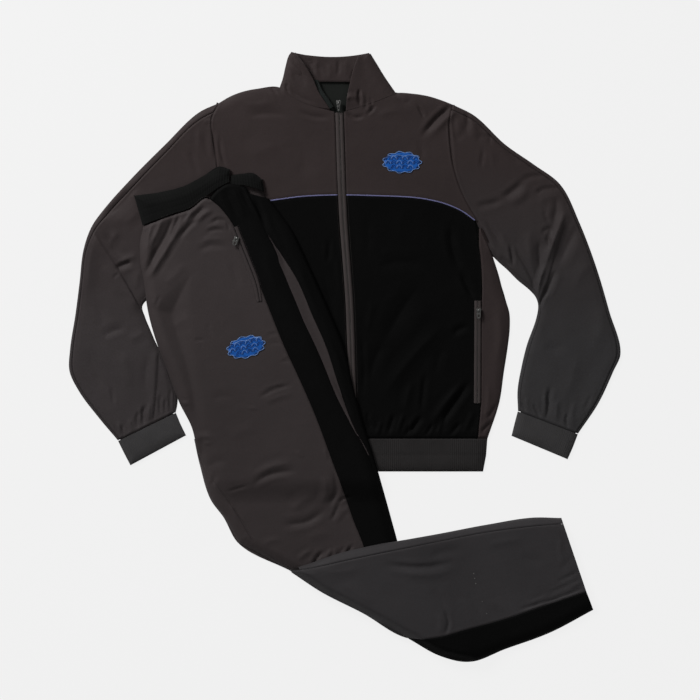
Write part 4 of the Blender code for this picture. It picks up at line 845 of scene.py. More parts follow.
def dashes(name, lines, heights, material, pitch=0.0034, length=0.0024, radius=0.00022, **more):
    """Rows of stitches: each a small spindle lying on the cloth, joined in one mesh."""
    verts, faces = [], []
    for line, height in zip(lines, heights):
        line = evenly(np.asarray(line, float), pitch)
        run = np.gradient(line, axis=0)
        run /= np.linalg.norm(run, axis=1, keepdims=True)
        half = length / 2 / GRID
        ends = np.stack([line + run * half * k for k in (-1, -0.45, 0.45, 1)], axis=1)
        z = height(ends)
        points = to_metres(ends, z)
        side = np.stack([run[:, 1], run[:, 0], np.zeros(len(run))], axis=1)[:, None, :]
        for k in range(len(line)):
            start = len(verts)
            for m, wide in enumerate((0.3, 1.0, 1.0, 0.3)):
                c = points[k, m]
                r = radius * wide
                dip = -radius * 1.2 if m in (0, 3) else 0.0
                s = side[k, 0] * r
                for off in ((s, 0), (s * 0.5, 0.9 * r), (-s * 0.5, 0.9 * r), (-s, 0), (s * 0, -0.6 * r)):
                    verts.append((c[0] + off[0][0], c[1] + off[0][1], c[2] + off[1] + dip + 0.0001))
            for m in range(3):
                for j in range(5):
                    a, b = start + m * 5 + j, start + m * 5 + (j + 1) % 5
                    faces.append((a, b, b + 5, a + 5))
            faces.append(tuple(start + j for j in (4, 3, 2, 1, 0)))
            faces.append(tuple(start + 15 + j for j in range(5)))
    return joined(name, verts, faces, material, **more)


def laid(obj, rests_on, held="laid", with_pieces=()):
    LAID[obj.name] = (obj, rests_on, held, with_pieces)


# ---- materials -----------------------------------------------------------------
class Tree:
    """Small helper for building a material's nodes."""

    def __init__(self, name):
        self.material = bpy.data.materials.new(name)
        self.material.use_nodes = True
        self.nodes, self.links = self.material.node_tree.nodes, self.material.node_tree.links
        self.shader = self.nodes["Principled BSDF"]
        self.coord = self.nodes.new("ShaderNodeTexCoord").outputs["Object"]
        self.last_bump = None

    def add(self, kind, **inputs):
        node = self.nodes.new(kind)
        for key, value in inputs.items():
            if key.startswith("_"):
                setattr(node, key[1:], value)
            else:
                node.inputs[key.replace("__", " ")].default_value = value
        return node

    def noise(self, scale, detail=2.0, rough=0.5, distortion=0.0, source=None):
        node = self.add("ShaderNodeTexNoise", Scale=scale, Detail=detail, Roughness=rough, Distortion=distortion)
        self.links.new(source or self.coord, node.inputs["Vector"])
        return node.outputs["Fac"]

    def wave(self, direction, scale, turn=0.0, distortion=0.0):
        source = self.coord
        if turn:
            mapping = self.add("ShaderNodeMapping")
            mapping.inputs["Rotation"].default_value = (0, 0, math.radians(turn))
            self.links.new(self.coord, mapping.inputs["Vector"])
            source = mapping.outputs["Vector"]
        node = self.add("ShaderNodeTexWave", Scale=scale, Distortion=distortion, _wave_type="BANDS", _bands_direction=direction)
        self.links.new(source, node.inputs["Vector"])
        return node.outputs["Fac"]

    def math(self, operation, a, b=0.5):
        node = self.add("ShaderNodeMath", _operation=operation)
        for slot, value in ((0, a), (1, b)):
            if isinstance(value, (int, float)):
                node.inputs[slot].default_value = value
            else:
                self.links.new(value, node.inputs[slot])
        return node.outputs[0]

    def ranged(self, value, low, high, from_low=0.0, from_high=1.0):
        node = self.add("ShaderNodeMapRange")
        for key, number in (("From Min", from_low), ("From Max", from_high), ("To Min", low), ("To Max", high)):
            node.inputs[key].default_value = number
        self.links.new(value, node.inputs["Value"])
        return node.outputs["Result"]

    def mix(self, factor, a, b, blend="MIX"):
        node = self.add("ShaderNodeMix", _data_type="RGBA", _blend_type=blend)
        if isinstance(factor, (int, float)):
            node.inputs[0].default_value = factor
        else:
            self.links.new(factor, node.inputs[0])
        for slot, value in ((6, a), (7, b)):
            if isinstance(value, tuple):
                node.inputs[slot].default_value = (*value, 1)
            else:
                self.links.new(value, node.inputs[slot])
        return node.outputs[2]

    def bump(self, height, distance, strength):
        node = self.add("ShaderNodeBump", Distance=distance, Strength=strength)
        self.links.new(height, node.inputs["Height"])
        if self.last_bump is not None:
            self.links.new(self.last_bump, node.inputs["Normal"])
        self.last_bump = node.outputs["Normal"]

    def done(self, colour=None, rough=None, **settings):
        if colour is not None:
            self.links.new(colour, self.shader.inputs["Base Color"])
        if rough is not None:
            self.links.new(rough, self.shader.inputs["Roughness"])
        if self.last_bump is not None:
            self.links.new(self.last_bump, self.shader.inputs["Normal"])
        for key, value in settings.items():
            self.shader.inputs[key.replace("__", " ")].default_value = value
        return self.material


def scaled(colour, by):
    return tuple(c * by for c in colour)


def nylon(name, colour, rough=0.56, sheen=0.03, tint=0.10, crinkle=1.0, turn=0.0, low=None, shine=0.07):
    """Woven nylon: plain weave, soft crinkles, slight sheen, faint tone changes at random; low is its colour further
    down, a painted sheen lighter than the colour above.
    """
    tree = Tree(name)
    broad = tree.noise(6.0, 3.0, 0.55, 0.4)
    fine = tree.noise(420.0, 2.0)
    # Blend towards low further down the piece: painted sheen, lighter lower down.
    if low:
        parts_ = tree.add("ShaderNodeSeparateXYZ")
        tree.links.new(tree.coord, parts_.inputs[0])
        down = tree.ranged(parts_.outputs[1], 1.0, 0.0, 0.02, 0.34)
        shade = tree.mix(down, colour, low)
        shade = tree.mix(tree.ranged(broad, 0.0, 1.0, 0.3, 0.7), tree.mix(1.0, shade, (1 - tint,) * 3, "MULTIPLY"),
                         tree.mix(1.0, shade, (1 + tint,) * 3, "MULTIPLY"))
    else:
        shade = tree.mix(tree.ranged(broad, 0.0, 1.0, 0.3, 0.7), scaled(colour, 1 - tint), scaled(colour, 1 + tint))
    warp, weft = tree.wave("X", 640.0, turn), tree.wave("Y", 640.0, turn)
    weave = tree.math("MULTIPLY", warp, weft)
    shade = tree.mix(tree.ranged(fine, 0.35, 0.0, 0.3, 0.7), shade, scaled(colour, 0.72))
    shade = tree.mix(tree.ranged(weave, 0.22, 0.0), shade, scaled(colour, 0.6))
    tree.bump(tree.noise(24.0, 4.0, 0.55, 0.8), 0.0040, 0.16 * crinkle)
    tree.bump(tree.noise(95.0, 3.0, 0.6, 0.5), 0.0011, 0.22 * crinkle)
    tree.bump(weave, 0.00012, 0.35)
    worn = tree.ranged(tree.noise(40.0, 2.0), rough - 0.05, rough + 0.07, 0.3, 0.7)
    return tree.done(shade, worn, Sheen__Weight=sheen, Sheen__Roughness=0.45, Specular__IOR__Level=shine)


def ribbed(name, colour, rough=0.78, tint=0.14):
    """Elastic rib knit: fine fuzz and knit loops; the ribs themselves are in the mesh."""
    tree = Tree(name)
    broad = tree.noise(14.0, 3.0, 0.6)
    shade = tree.mix(tree.ranged(broad, 0.0, 1.0, 0.3, 0.7), scaled(colour, 1 - tint), scaled(colour, 1 + tint))
    knit = tree.math("MULTIPLY", tree.wave("X", 380.0, 45), tree.wave("Y", 380.0, 45))
    shade = tree.mix(tree.ranged(knit, 0.3, 0.0), shade, scaled(colour, 0.55))
    tree.bump(tree.noise(160.0, 3.0, 0.6), 0.0006, 0.30)
    tree.bump(knit, 0.0002, 0.5)
    return tree.done(shade, tree.ranged(tree.noise(60.0), rough - 0.05, rough + 0.08), Sheen__Weight=0.03,
                     Sheen__Roughness=0.5, Specular__IOR__Level=0.04)


def taped(name, colour, rough=0.6):
    """Zip tape: herringbone weave."""
    tree = Tree(name)
    twill = tree.math("ADD", tree.wave("DIAGONAL", 520.0), tree.wave("Y", 700.0))
    shade = tree.mix(tree.ranged(twill, 0.35, 0.0, 0.0, 2.0), colour, scaled(colour, 0.6))
    shade = tree.mix(tree.ranged(tree.noise(30.0, 3.0), 0.0, 0.4, 0.3, 0.7), shade, scaled(colour, 1.25))
    tree.bump(twill, 0.00018, 0.5)
    return tree.done(shade, tree.ranged(tree.noise(80.0), rough - 0.05, rough + 0.08), Sheen__Weight=0.03,
                     Specular__IOR__Level=0.1)


def threads(name, colour, rough=0.42, tint=0.2, pitch=1400.0):
    """Twisted embroidery thread, slightly glossy."""
    tree = Tree(name)
    strand = tree.wave("DIAGONAL", pitch * 0.4)
    tone = tree.noise(130.0, 3.0, 0.6)
    shade = tree.mix(tree.ranged(tone, 0.0, 1.0, 0.3, 0.7), scaled(colour, 1 - tint), scaled(colour, 1 + tint))
    shade = tree.mix(tree.ranged(strand, 0.28, 0.0), shade, scaled(colour, 0.5))
    tree.bump(strand, 0.00012, 0.45)
    return tree.done(shade, tree.ranged(tone, rough - 0.06, rough + 0.1), Sheen__Weight=0.04, Specular__IOR__Level=0.15)


def metallic(name, colour, rough=0.34, brushed=0.5):
    """Plated die-cast metal with fine scratches and darker and lighter patches at random."""
    tree = Tree(name)
    wear = tree.noise(260.0, 4.0, 0.65)
    shade = tree.mix(tree.ranged(wear, 0.0, 1.0, 0.35, 0.65), scaled(colour, 0.78), scaled(colour, 1.12))
    tree.bump(tree.noise(900.0, 2.0), 0.00008, brushed)
    return tree.done(shade, tree.ranged(wear, rough - 0.08, rough + 0.14), Metallic=0.9)


CHARCOAL = (0.0400, 0.0300, 0.0296)
LEG_GREY = (0.0470, 0.0385, 0.0387)
# Sleeve colours further down, lighter than CHARCOAL: painted sheen.
SLEEVE_LOW_L_PAINTED_SHEEN = (0.0480, 0.0425, 0.0438)
SLEEVE_LOW_R_PAINTED_SHEEN = (0.0455, 0.0460, 0.0480)
BLACK = (0.0040, 0.0040, 0.0040)

body_cloth = nylon("charcoal_nylon_body", CHARCOAL)
sleeve_cloth_l = nylon("charcoal_nylon_sleeve_left_painted_sheen", CHARCOAL, turn=30, low=SLEEVE_LOW_L_PAINTED_SHEEN)
sleeve_cloth_r = nylon("charcoal_nylon_sleeve_right_painted_sheen", CHARCOAL, turn=-18, low=SLEEVE_LOW_R_PAINTED_SHEEN)
leg_cloth = nylon("charcoal_nylon_leg", LEG_GREY, turn=24)
turned_cloth = nylon("charcoal_nylon_turned", (0.0440, 0.0410, 0.0430), turn=78)
black_cloth = nylon("black_nylon_panel", BLACK, rough=0.6, sheen=0.008, tint=0.12, shine=0.02)
black_side = nylon("black_nylon_stripe", scaled(BLACK, 1.15), rough=0.6, sheen=0.008, tint=0.12, turn=24, shine=0.02)
# Colour of the jacket's inside, seen through the neck: a greenish tint, darkened far below the charcoal cloth as
# painted shade.
lining = nylon("lining", (0.0135, 0.0150, 0.0135), rough=0.7, sheen=0.02)
rib_grey = ribbed("charcoal_rib_knit", (0.0300, 0.0280, 0.0280))
rib_cuff = ribbed("charcoal_rib_cuff", (0.0560, 0.0540, 0.0550))
rib_black = ribbed("black_rib_knit", (0.0058, 0.0060, 0.0058))
cord_stuff = threads("piping_cord", (0.150, 0.150, 0.290), 0.6, 0.12)
tape_stuff = taped("zip_tape_grey", (0.0520, 0.0430, 0.0420))
tape_dark = taped("zip_tape_dark", (0.0130, 0.0160, 0.0150))
coil_stuff = metallic("zip_coil", (0.06, 0.058, 0.056), 0.45)
metal = metallic("zip_hardware", (0.15, 0.15, 0.145), 0.36)
stitch_grey = threads("stitching_grey", (0.044, 0.035, 0.034), 0.55)
stitch_black = threads("stitching_black", (0.0040, 0.0040, 0.0040), 0.7)
blue = threads("thread_blue", (0.0105, 0.098, 0.400))
deep_blue = threads("thread_deep_blue", (0.004, 0.026, 0.150))
pale_blue = threads("thread_pale", (0.150, 0.270, 0.560))

# ---- jacket --------------------------------------------------------------------
arm_l, arm_r = edge(ARMHOLE_LEFT, "x", "y"), edge(ARMHOLE_RIGHT, "x", "y")
pipe_l, pipe_r = edge(PIPING_LEFT, "x", "y"), edge(PIPING_RIGHT, "x", "y")
zip_a, zip_b = edge(ZIP_FRONT, "ax", "ay"), edge(ZIP_FRONT, "bx", "by")
SEAM_LINES += [
    (fine_line(arm_l), 0.0009, 0.0012), (fine_line(arm_r), 0.0010, 0.0013),
    (fine_line(pipe_l), 0.0006, 0.0022), (fine_line(pipe_r), 0.0006, 0.0022),
    (fine_line(zip_a), 0.0008, 0.0014), (fine_line(zip_b), 0.0008, 0.0014),
    (fine_edge(LOWER_RIGHT, "bx", "by"), 0.0007, 0.0012),
    (np.stack([HEM["zip_r"][:1].repeat(2) + (0, 128), HEM["y"][:1].repeat(2)], 1), 0.0016, 0.0018),
    (np.stack([HEM["left"][:1].repeat(2) + (0, 128), HEM["y"][:1].repeat(2)], 1), 0.0014, 0.0018),
    (edge(CUFF_LEFT, "ax", "ay")[:1].repeat(2, 0) + [(0, 0), (56.7, -27.8)], 0.0016, 0.0018),
    (edge(CUFF_RIGHT, "ax", "ay")[:1].repeat(2, 0) + [(0, 0), (-59.1, -22.5)], 0.0016, 0.0018),
]

GAP = 0.00015


def back_panel():
    a, b = edge(BACK, "ax", "ay"), edge(BACK, "bx", "by")
    plan, shares, t = patch(a, b, COARSE, fine=(True, True), inset=(GAP, GAP, 0, GAP))
    rise = BACK_RISE * np.sin(np.pi * shares) ** 0.6 + 11 * np.exp(-(((shares - 0.5) / 0.14) ** 2))
    plan[..., 1] -= rise[None] * np.interp(t, [0, 1, 2], [1.0, 0.5, 0.0])[:, None]
    depth = inside_depth(plan, JACKET_OUTLINE)
    z = 0.0003 + 0.0009 * (1 - smooth(depth / 0.004)) + 0.0
    # The back takes the dark inside colour: painted shade where the neck opening looks into it.
    obj = cloth("back", to_metres(plan, z), lining, up=False, nodes=["jacket_back"], slot="charcoal_nylon")
    obj.data.materials.append(body_cloth)
    laid(obj, ["floor"])
    return obj


def jacket_panels():
    plan, _, _ = patch(edge(UPPER_LEFT, "tx", "ty"), edge(UPPER_LEFT, "bx", "by"), first=arm_l[:7],
                       inset=(0, 0.0012, GAP, GAP))
    obj = cloth("upper_left", with_skirts(plan, jacket_height(plan), {"a": 0.0016, "first": -0.0040}), body_cloth,
                nodes=["front_upper_left"], slot="charcoal_nylon")
    laid(obj, ["back"])
    plan, _, _ = patch(edge(UPPER_RIGHT, "tx", "ty"), edge(UPPER_RIGHT, "bx", "by"),
                       last=np.concatenate([arm_r[:6], [[477.4, 221.4]]]), inset=(0, 0.0012, GAP, GAP))
    obj = cloth("upper_right", with_skirts(plan, jacket_height(plan), {"a": 0.0016, "last": -0.0040}), body_cloth,
                nodes=["front_upper_right"], slot="charcoal_nylon")
    laid(obj, ["back"])
    plan, _, _ = patch(edge(LOWER_LEFT, "ax", "ay"), edge(LOWER_LEFT, "bx", "by"), first=pipe_l, fade=(1, 0.45, 0.15),
                       inset=(GAP, GAP, 0.0012, GAP))
    obj = cloth("lower_left", with_skirts(plan, jacket_height(plan), {"last": -0.0060}), black_cloth, nodes=["front_lower_left"],
                slot="black_nylon")
    laid(obj, ["back"])
    plan, _, _ = patch(edge(LOWER_RIGHT, "ax", "ay"), edge(LOWER_RIGHT, "bx", "by"), first=pipe_r,
                       fade=(1, 0.45, 0.15), inset=(GAP, GAP, 0.0012, GAP))
    bulge = 0.0012 * np.exp(-(((plan[..., 1] - 433) / 3.0) ** 2))
    obj = cloth("lower_right", with_skirts(plan, jacket_height(plan, bulge), {"last": -0.0060}), black_cloth,
                nodes=["front_lower_right"], slot="black_nylon")
    laid(obj, ["back"])
    plan, _, _ = patch(edge(SIDE_RIGHT, "ax", "ay"), edge(SIDE_RIGHT, "bx", "by"), inset=(GAP, 0, GAP, GAP))
    obj = cloth("side_panel_right", with_skirts(plan, jacket_height(plan), {"b": 0.0016, "a": -0.0030, "first": -0.0040, "last": -0.0060}), body_cloth,
                nodes=["side_right"], slot="charcoal_nylon")
    laid(obj, ["back"])


def piping():
    for side, line, lift in (("left", pipe_l, 0), ("right", pipe_r, 0)):
        line = evenly(fine_line(line), 0.0022)
        z = jacket_height(line) + 0.0006
        tube(f"piping_{side}_cord", to_metres(line, z), 0.00115, cord_stuff, 8,
             nodes=[f"piping_{side}"], slot="piping_cord")


def sleeve(side, table, armhole, stuff):
    a, b = edge(table, "ax", "ay"), edge(table, "bx", "by")
    base = np.linspace(0, 1, 121)
    full, _, t = patch(a, b, FINE, first=armhole, fade=(1.0, 0.6, 0.3, 0.12), shares=base, inset=(0, 0, GAP, GAP))
    seam = through(table["seam"][:, None], t)[:, 0]
    width = np.linalg.norm(full[:, -1] - full[:, 0], axis=1) * GRID

    def at(where):
        k = np.clip(where * 120, 0, 119.999)
        i = k.astype(int)
        f = (k - i)[..., None]
        r = np.arange(len(full))[:, None]
        return full[r, i] * (1 - f) + full[r, i + 1] * f

    gap = (GAP / width)[:, None]
    near = shares_for(width.mean() * 0.9, FINE)[None]
    start, far = seam[:, None] + gap, 0.965 - gap
    front = at(start + (far - start) * near)
    SEAM_LINES.append((at(seam[:, None])[::4, 0], 0.0010, 0.0011))
    obj = cloth(f"sleeve_{side}_top", with_skirts(front, jacket_height(front), {"first": -0.0040, "last": -0.0060}), stuff,
                nodes=[f"sleeve_{side}_front"], slot="charcoal_nylon")
    laid(obj, [f"sleeve_{side}_under"])
    lip = at((seam[:, None] - gap) * np.array([1.0, 0.85, 0.6, 0.35, 0.15, 0.05, 0.0])[None])
    rim = at(1 - (1 - 0.965 - gap) * np.array([0.0, 0.08, 0.25, 0.5, 0.8, 1.0])[None])
    below = at(np.linspace(0, 1, 18)[None].repeat(len(full), 0))

    def arc(side_name, z_top):
        out = outward(full, side_name)
        corner = full[:, 0] if side_name == "a" else full[:, -1]
        steps = []
        for push, share in ((0.45, 0.80), (0.75, 0.55), (0.75, 0.35), (0.45, 0.12)):
            steps.append(to_metres(corner + out * (push * 0.001 / GRID), z_top * share + 0.0003))
        return np.stack(steps, axis=1)

    z_lip, z_rim = jacket_height(lip), jacket_height(rim)
    points = np.concatenate([
        to_metres(lip, z_lip), arc("a", z_lip[:, -1]), to_metres(below, np.full(below.shape[:-1], 0.0003)),
        arc("b", z_rim[:, 0])[:, ::-1], to_metres(rim, z_rim),
    ], axis=1)
    obj = cloth(f"sleeve_{side}_under", points, stuff, up=False, part=slice(11, 29),
                nodes=[f"sleeve_{side}_back"], slot="charcoal_nylon")
    laid(obj, ["floor"])


def ribs(distance, pitch, high, seed):
    """Ribs across a run of cloth, a little uneven."""
    drift = waves(np.stack([distance / 0.012, np.zeros_like(distance)], -1), 1.0, seed)
    return high * (0.5 + 0.5 * np.cos(2 * math.pi * distance / pitch + 1.5 * drift)) - high


def cuff(side, table):
    a, b = edge(table, "ax", "ay"), edge(table, "bx", "by")
    width = np.linalg.norm(b - a, axis=1).mean() * GRID
    count = int(width / 0.0012)
    shares = np.unique(np.r_[np.linspace(0, 1, count), 0.004, 0.012, 0.988, 0.996])
    plan, _, t = patch(a, b, 0.0026, shares=shares, inset=(0, 0, GAP, 0))
    run = shares[None] * width + 0.0 * t[:, None]
    depth = inside_depth(plan, JACKET_OUTLINE)
    z = 2 * WALL + SEAM + BODY_PUFF * roll(depth, BODY_ROLL) + 0.0006 + ribs(run, 0.0031, 0.0007, 3)
    end = np.abs(t / t[-1])
    z = z - 0.0011 * (1 - np.sqrt(np.clip(1 - (1 - np.clip((1 - end) / 0.09, 0, 1)) ** 2, 0, 1)))[:, None]
    z = z + 0.0004 * waves(plan, 12.0, 8)
    top = to_metres(plan, z)
    out_a, out_b = outward(plan, "a"), outward(plan, "b")

    def side_arc(corner, out, z_top):
        return np.stack([to_metres(corner + out * (p * 0.001 / GRID), z_top * s + 0.0003)
                         for p, s in ((0.5, 0.85), (0.9, 0.62), (0.9, 0.4), (0.5, 0.14))], axis=1)

    low = plan[:, ::-1][:, ::4]
    points = np.concatenate([top, side_arc(plan[:, -1], out_b, z[:, -1]),
                             to_metres(low, np.full(low.shape[:-1], 0.0003)),
                             side_arc(plan[:, 0], out_a, z[:, 0])[:, ::-1]], axis=1)
    obj = cloth(f"cuff_{side}_rib", points, rib_cuff, part=slice(0, len(shares)), around=True, thick=0.0012,
                nodes=[f"cuff_{side}"], slot="charcoal_rib")
    laid(obj, ["floor"])


def hem():
    t = np.linspace(0, 2, 22)
    cols = {k: through(np.asarray(v)[:, None], t)[:, 0] for k, v in HEM.items()}
    zl, zr, left, right, y = (cols[k][:, None] for k in ("zip_l", "zip_r", "left", "right", "y"))
    s = np.linspace(0, 1, 280)[None]
    s = np.unique(np.r_[s[0], 0.996, 0.999])[None]
    fr_x = zr + 0.2 + (right - zr - 0.2) * s
    fl_s = np.linspace(0, 1, 90)[None]
    fl_x = left + (zl - 0.2 - left) * fl_s
    fr = np.stack([fr_x, np.broadcast_to(y, fr_x.shape)], -1)
    fl = np.stack([fl_x, np.broadcast_to(y, fl_x.shape)], -1)
    down = np.linspace(0, 1, 30)[None]
    lower = np.stack([right + (left - right) * down, np.broadcast_to(y, (len(t), 30))], -1)

    def z_of(p, seed):
        depth = inside_depth(p, JACKET_OUTLINE)
        z = 2 * WALL + SEAM + BODY_PUFF * roll(depth, BODY_ROLL) + 0.0004
        z = z + ribs(p[..., 0] * GRID, 0.0033, 0.00075, seed) + 0.0005 * waves(p, 22.0, 12)
        z = z - 0.0007 * np.exp(-(((t[:, None] - 1.0) / 0.06) ** 2)) - 0.0010 * smooth((t[:, None] - 1.86) / 0.14)
        return z

    zr_top, zl_top = z_of(fr, 4), z_of(fl, 6)

    def side_arc(corner_x, direction, z_top):
        steps = []
        for p, k in ((0.5, 0.85), (0.9, 0.62), (0.9, 0.4), (0.5, 0.14)):
            plan = np.concatenate([corner_x + direction * p * 0.001 / GRID, y], axis=1)
            steps.append(to_metres(plan, z_top * k + 0.0003))
        return np.stack(steps, axis=1)

    points = np.concatenate([
        to_metres(fr, zr_top), side_arc(right, 1, zr_top[:, -1]), to_metres(lower, np.full((len(t), 30), 0.0003)),
        side_arc(left, -1, zl_top[:, 0])[:, ::-1], to_metres(fl, zl_top),
    ], axis=1)
    obj = cloth("hem_rib", points, rib_grey, part=slice(0, fr.shape[1]), thick=0.0012, nodes=["hem_band"],
                slot="charcoal_rib")
    laid(obj, ["floor"])


def collar():
    # Inside of the collar's back, hollow at its left where the left front leans away from it.
    a, b = edge(COLLAR_BACK, "ax", "ay"), edge(COLLAR_BACK, "bx", "by")
    plan, shares, t = patch(a, b, 0.0020, bow=COLLAR_BACK["bow"], shares=np.linspace(0, 1, 60))
    x, y = plan[..., 0], plan[..., 1]
    lip = smooth((t[:, None] - 2.1) / 0.55) * 0.0
    top_edge = inside_depth(plan, JACKET_OUTLINE)
    level = 0.0030 + 0.0034 * roll(top_edge, 0.010)
    hollow = creases(plan, rows("x0 y0 x1 y1 x2 y2 half mm lean",
                                (290, 54, 302, 58, 316, 66, 7.0, -6.0, 0), (296, 60, 306, 66, 314, 76, 6.0, -4.0, 0),
                                (307, 56, 310, 60, 312, 66, 1.8, 2.2, 0), (338, 58, 338.5, 68, 337, 78, 1.9, -1.2, 0.2),
                                (354, 68, 353, 75, 350, 82, 1.8, -1.1, 0), (329, 62, 330, 72, 329, 82, 4.0, 0.7, 0),
                                (345, 60, 346, 70, 346, 80, 3.6, 0.8, 0), (364, 60, 366, 70, 362, 84, 3.0, -0.7, 0),
                                (318, 62, 320, 72, 322, 82, 2.4, -0.8, 0)))
    z = level + hollow + 0.0003 * waves(plan, 9.0, 6)
    z = np.maximum(z, 0.0012)
    keep = t <= 2.62
    edge_fall = smooth((t - 2.50) / 0.12)[:, None]
    z = z - (z - 0.0036) * edge_fall * 0.6
    points = with_skirts(plan[keep], z[keep], {"first": 0.0018, "last": 0.0014})
    obj = cloth("collar_inside", points, body_cloth, nodes=["collar_back"], slot="charcoal_nylon")
    laid(obj, ["back"])

    def stand(points, table):
        return creases(points, table)

    a, b = edge(COLLAR_LEFT, "ax", "ay"), edge(COLLAR_LEFT, "bx", "by")
    plan, shares, t = patch(a, b, 0.0018, bow=(4.6, 2.2, 0, 0, 0), inset=(0, 0, 0, 0))
    lift = np.interp(t, [0, 0.6, 2, 3, 4], [0.0002, 0.0030, 0.0070, 0.0110, 0.0090])
    up = lift[:, None] * smooth((shares - 0.30) / 0.7)[None]
    z = jacket_height(plan) + 0.0004 + up
    z = z + creases(plan, rows("x0 y0 x1 y1 x2 y2 half mm lean",
                               (288, 66, 292, 78, 300, 92, 5.0, 0.8, 0), (296, 62, 302, 74, 306, 90, 3.0, -0.7, 0),
                               (288, 88, 300, 97, 316, 104, 3.0, -0.7, 0)))
    obj = cloth("collar_left", with_skirts(plan, z, {"b": 0.0050, "a": 0.0016, "last": 0.0022, "first": -0.0030}), body_cloth,
                nodes=["collar_front_left"], slot="charcoal_nylon")
    laid(obj, ["collar_inside"])

    a, b = edge(COLLAR_RIGHT, "ax", "ay"), edge(COLLAR_RIGHT, "bx", "by")
    plan, shares, t = patch(a, b, 0.0018, bow=(1.0, 0.3, 0, 0, 0), inset=(0, 0, 0, 0))
    up = 0.0022 * (1 - smooth(shares / 0.5))[None] * smooth(t[:, None] / 0.6)
    z = jacket_height(plan) + 0.0004 + up
    obj = cloth("collar_right", with_skirts(plan, z, {"a": 0.0028, "b": 0.0016, "last": 0.0022, "first": -0.0030}), body_cloth,
                nodes=["collar_front_right"], slot="charcoal_nylon")
    laid(obj, ["collar_inside"])


def teeth(name, line, z_of, pitch, wide, high, stuff, node=(), slot=None, body="tracksuit"):
    """A row of small rounded coil loops across a line, as one mesh."""
    line = evenly(line, pitch)
    run = np.gradient(line, axis=0)
    run /= np.linalg.norm(run, axis=1, keepdims=True)
    centre = to_metres(line, z_of(line))
    ahead = np.stack([run[:, 0], -run[:, 1], np.zeros(len(run))], 1)
    side = np.stack([run[:, 1], run[:, 0], np.zeros(len(run))], 1)
    verts, faces = [], []
    for c, f, s in zip(centre, ahead, side):
        start = len(verts)
        for across_, lift, thin in ((-1.0, 0.0, 0.6), (-0.72, 0.75, 1.0), (0.0, 1.0, 1.0), (0.72, 0.75, 1.0), (1.0, 0.0, 0.6)):
            p = c + s * wide * across_ + np.array([0, 0, high * lift])
            verts.append(tuple(p - f * pitch * 0.36 * thin))
            verts.append(tuple(p + f * pitch * 0.36 * thin))
            low = p - (0, 0, high * (0.6 + lift * 0.4))
            verts.append(tuple(low + f * pitch * 0.36 * thin))
            verts.append(tuple(low - f * pitch * 0.36 * thin))
        for m in range(4):
            for j in range(4):
                a, b = start + m * 4 + j, start + m * 4 + (j + 1) % 4
                faces.append((a, b, b + 4, a + 4))
        faces.append(tuple(start + j for j in (3, 2, 1, 0)))
        faces.append(tuple(start + 16 + j for j in range(4)))
    return joined(name, verts, faces, stuff, nodes=node, slot=slot, body=body)


def zips():
    a, b = zip_a, zip_b
    shares = np.array([0, 0.05, 0.14, 0.26, 0.37, 0.44, 0.48, 0.5, 0.52, 0.56, 0.63, 0.74, 0.86, 0.95, 1.0])
    plan, _, t = patch(a, b, 0.0030, shares=shares)
    profile = np.array([-0.7, 0.0, 0.35, 0.45, 0.35, 0.1, -0.5, -0.8, -0.5, 0.1, 0.35, 0.45, 0.35, 0.0, -0.7]) * 0.001
    hem_part = smooth((plan[..., 1] - 437.5) / 2.0) * 0.0004
    z = jacket_height(plan) + 0.0008 + profile[None] + hem_part
    tape = cloth("zip_front_tape", to_metres(plan, z), tape_stuff, nodes=["front_zip"], slot="zip_tape")
    middle = (through(a, t) + through(b, t)) / 2
    teeth("zip_front_coil", middle, lambda p: jacket_height(p) + 0.0002, 0.0015, 0.0009, 0.0006, coil_stuff,
          slot="zip_metal")
    laid(tape, ["lower_left", "lower_right"], with_pieces=["zip_front_coil"])

    a, b = edge(ZIP_OPEN, "ax", "ay"), edge(ZIP_OPEN, "bx", "by")
    plan, _, t = patch(a, b, 0.0015, shares=np.linspace(0, 1, 7))
    z = jacket_height(plan) + 0.0004 + 0.0025 * smooth(t / 1.5)[:, None] * np.linspace(0.9, 0.3, 7)[None]
    open_tape = cloth("zip_open_tape", to_metres(plan, z), tape_dark, nodes=["front_zip_open"], slot="zip_tape")
    rim = through(b, np.linspace(0, 3, 30))
    teeth("zip_open_coil", rim, lambda p: np.full(len(p), 0.0052), 0.0015, 0.0008, 0.0008, coil_stuff, slot="zip_metal")
    laid(open_tape, ["collar_inside"], with_pieces=["zip_open_coil"])

    for name, table, height, node, lift, body_part in (
        ("pocket_side", POCKET_BODY, jacket_height, "pocket_zip_right", 0.0012, "lower_right"),
        ("pocket_leg", POCKET_LEG, leg_height, "pocket_zip_leg", 0.0012, "trouser_front"),
    ):
        a, b = edge(table, "ax", "ay"), edge(table, "bx", "by")
        plan, _, t = patch(a, b, 0.0024, shares=np.array([0, 0.06, 0.2, 0.36, 0.45, 0.5, 0.55, 0.64, 0.8, 0.94, 1.0]))
        profile = np.array([-0.9, 0.0, 0.4, 0.3, 0.0, -0.3, 0.0, 0.3, 0.4, 0.0, -0.9]) * 0.001
        middle = (through(a, t) + through(b, t)) / 2
        line = height(middle)
        z = line[:, None] + lift + profile[None]
        stuff = tape_stuff if name == "pocket_side" else leg_cloth
        tape = cloth(f"{name}_tape", to_metres(plan, z), stuff, nodes=[node], slot="zip_tape")
        teeth(f"{name}_coil", middle, lambda p: height(p) + lift - 0.0001, 0.0014, 0.00075, 0.0005, coil_stuff if name == "pocket_side" else stitch_black,
              slot="zip_metal")
        laid(tape, [body_part], with_pieces=[f"{name}_coil"])


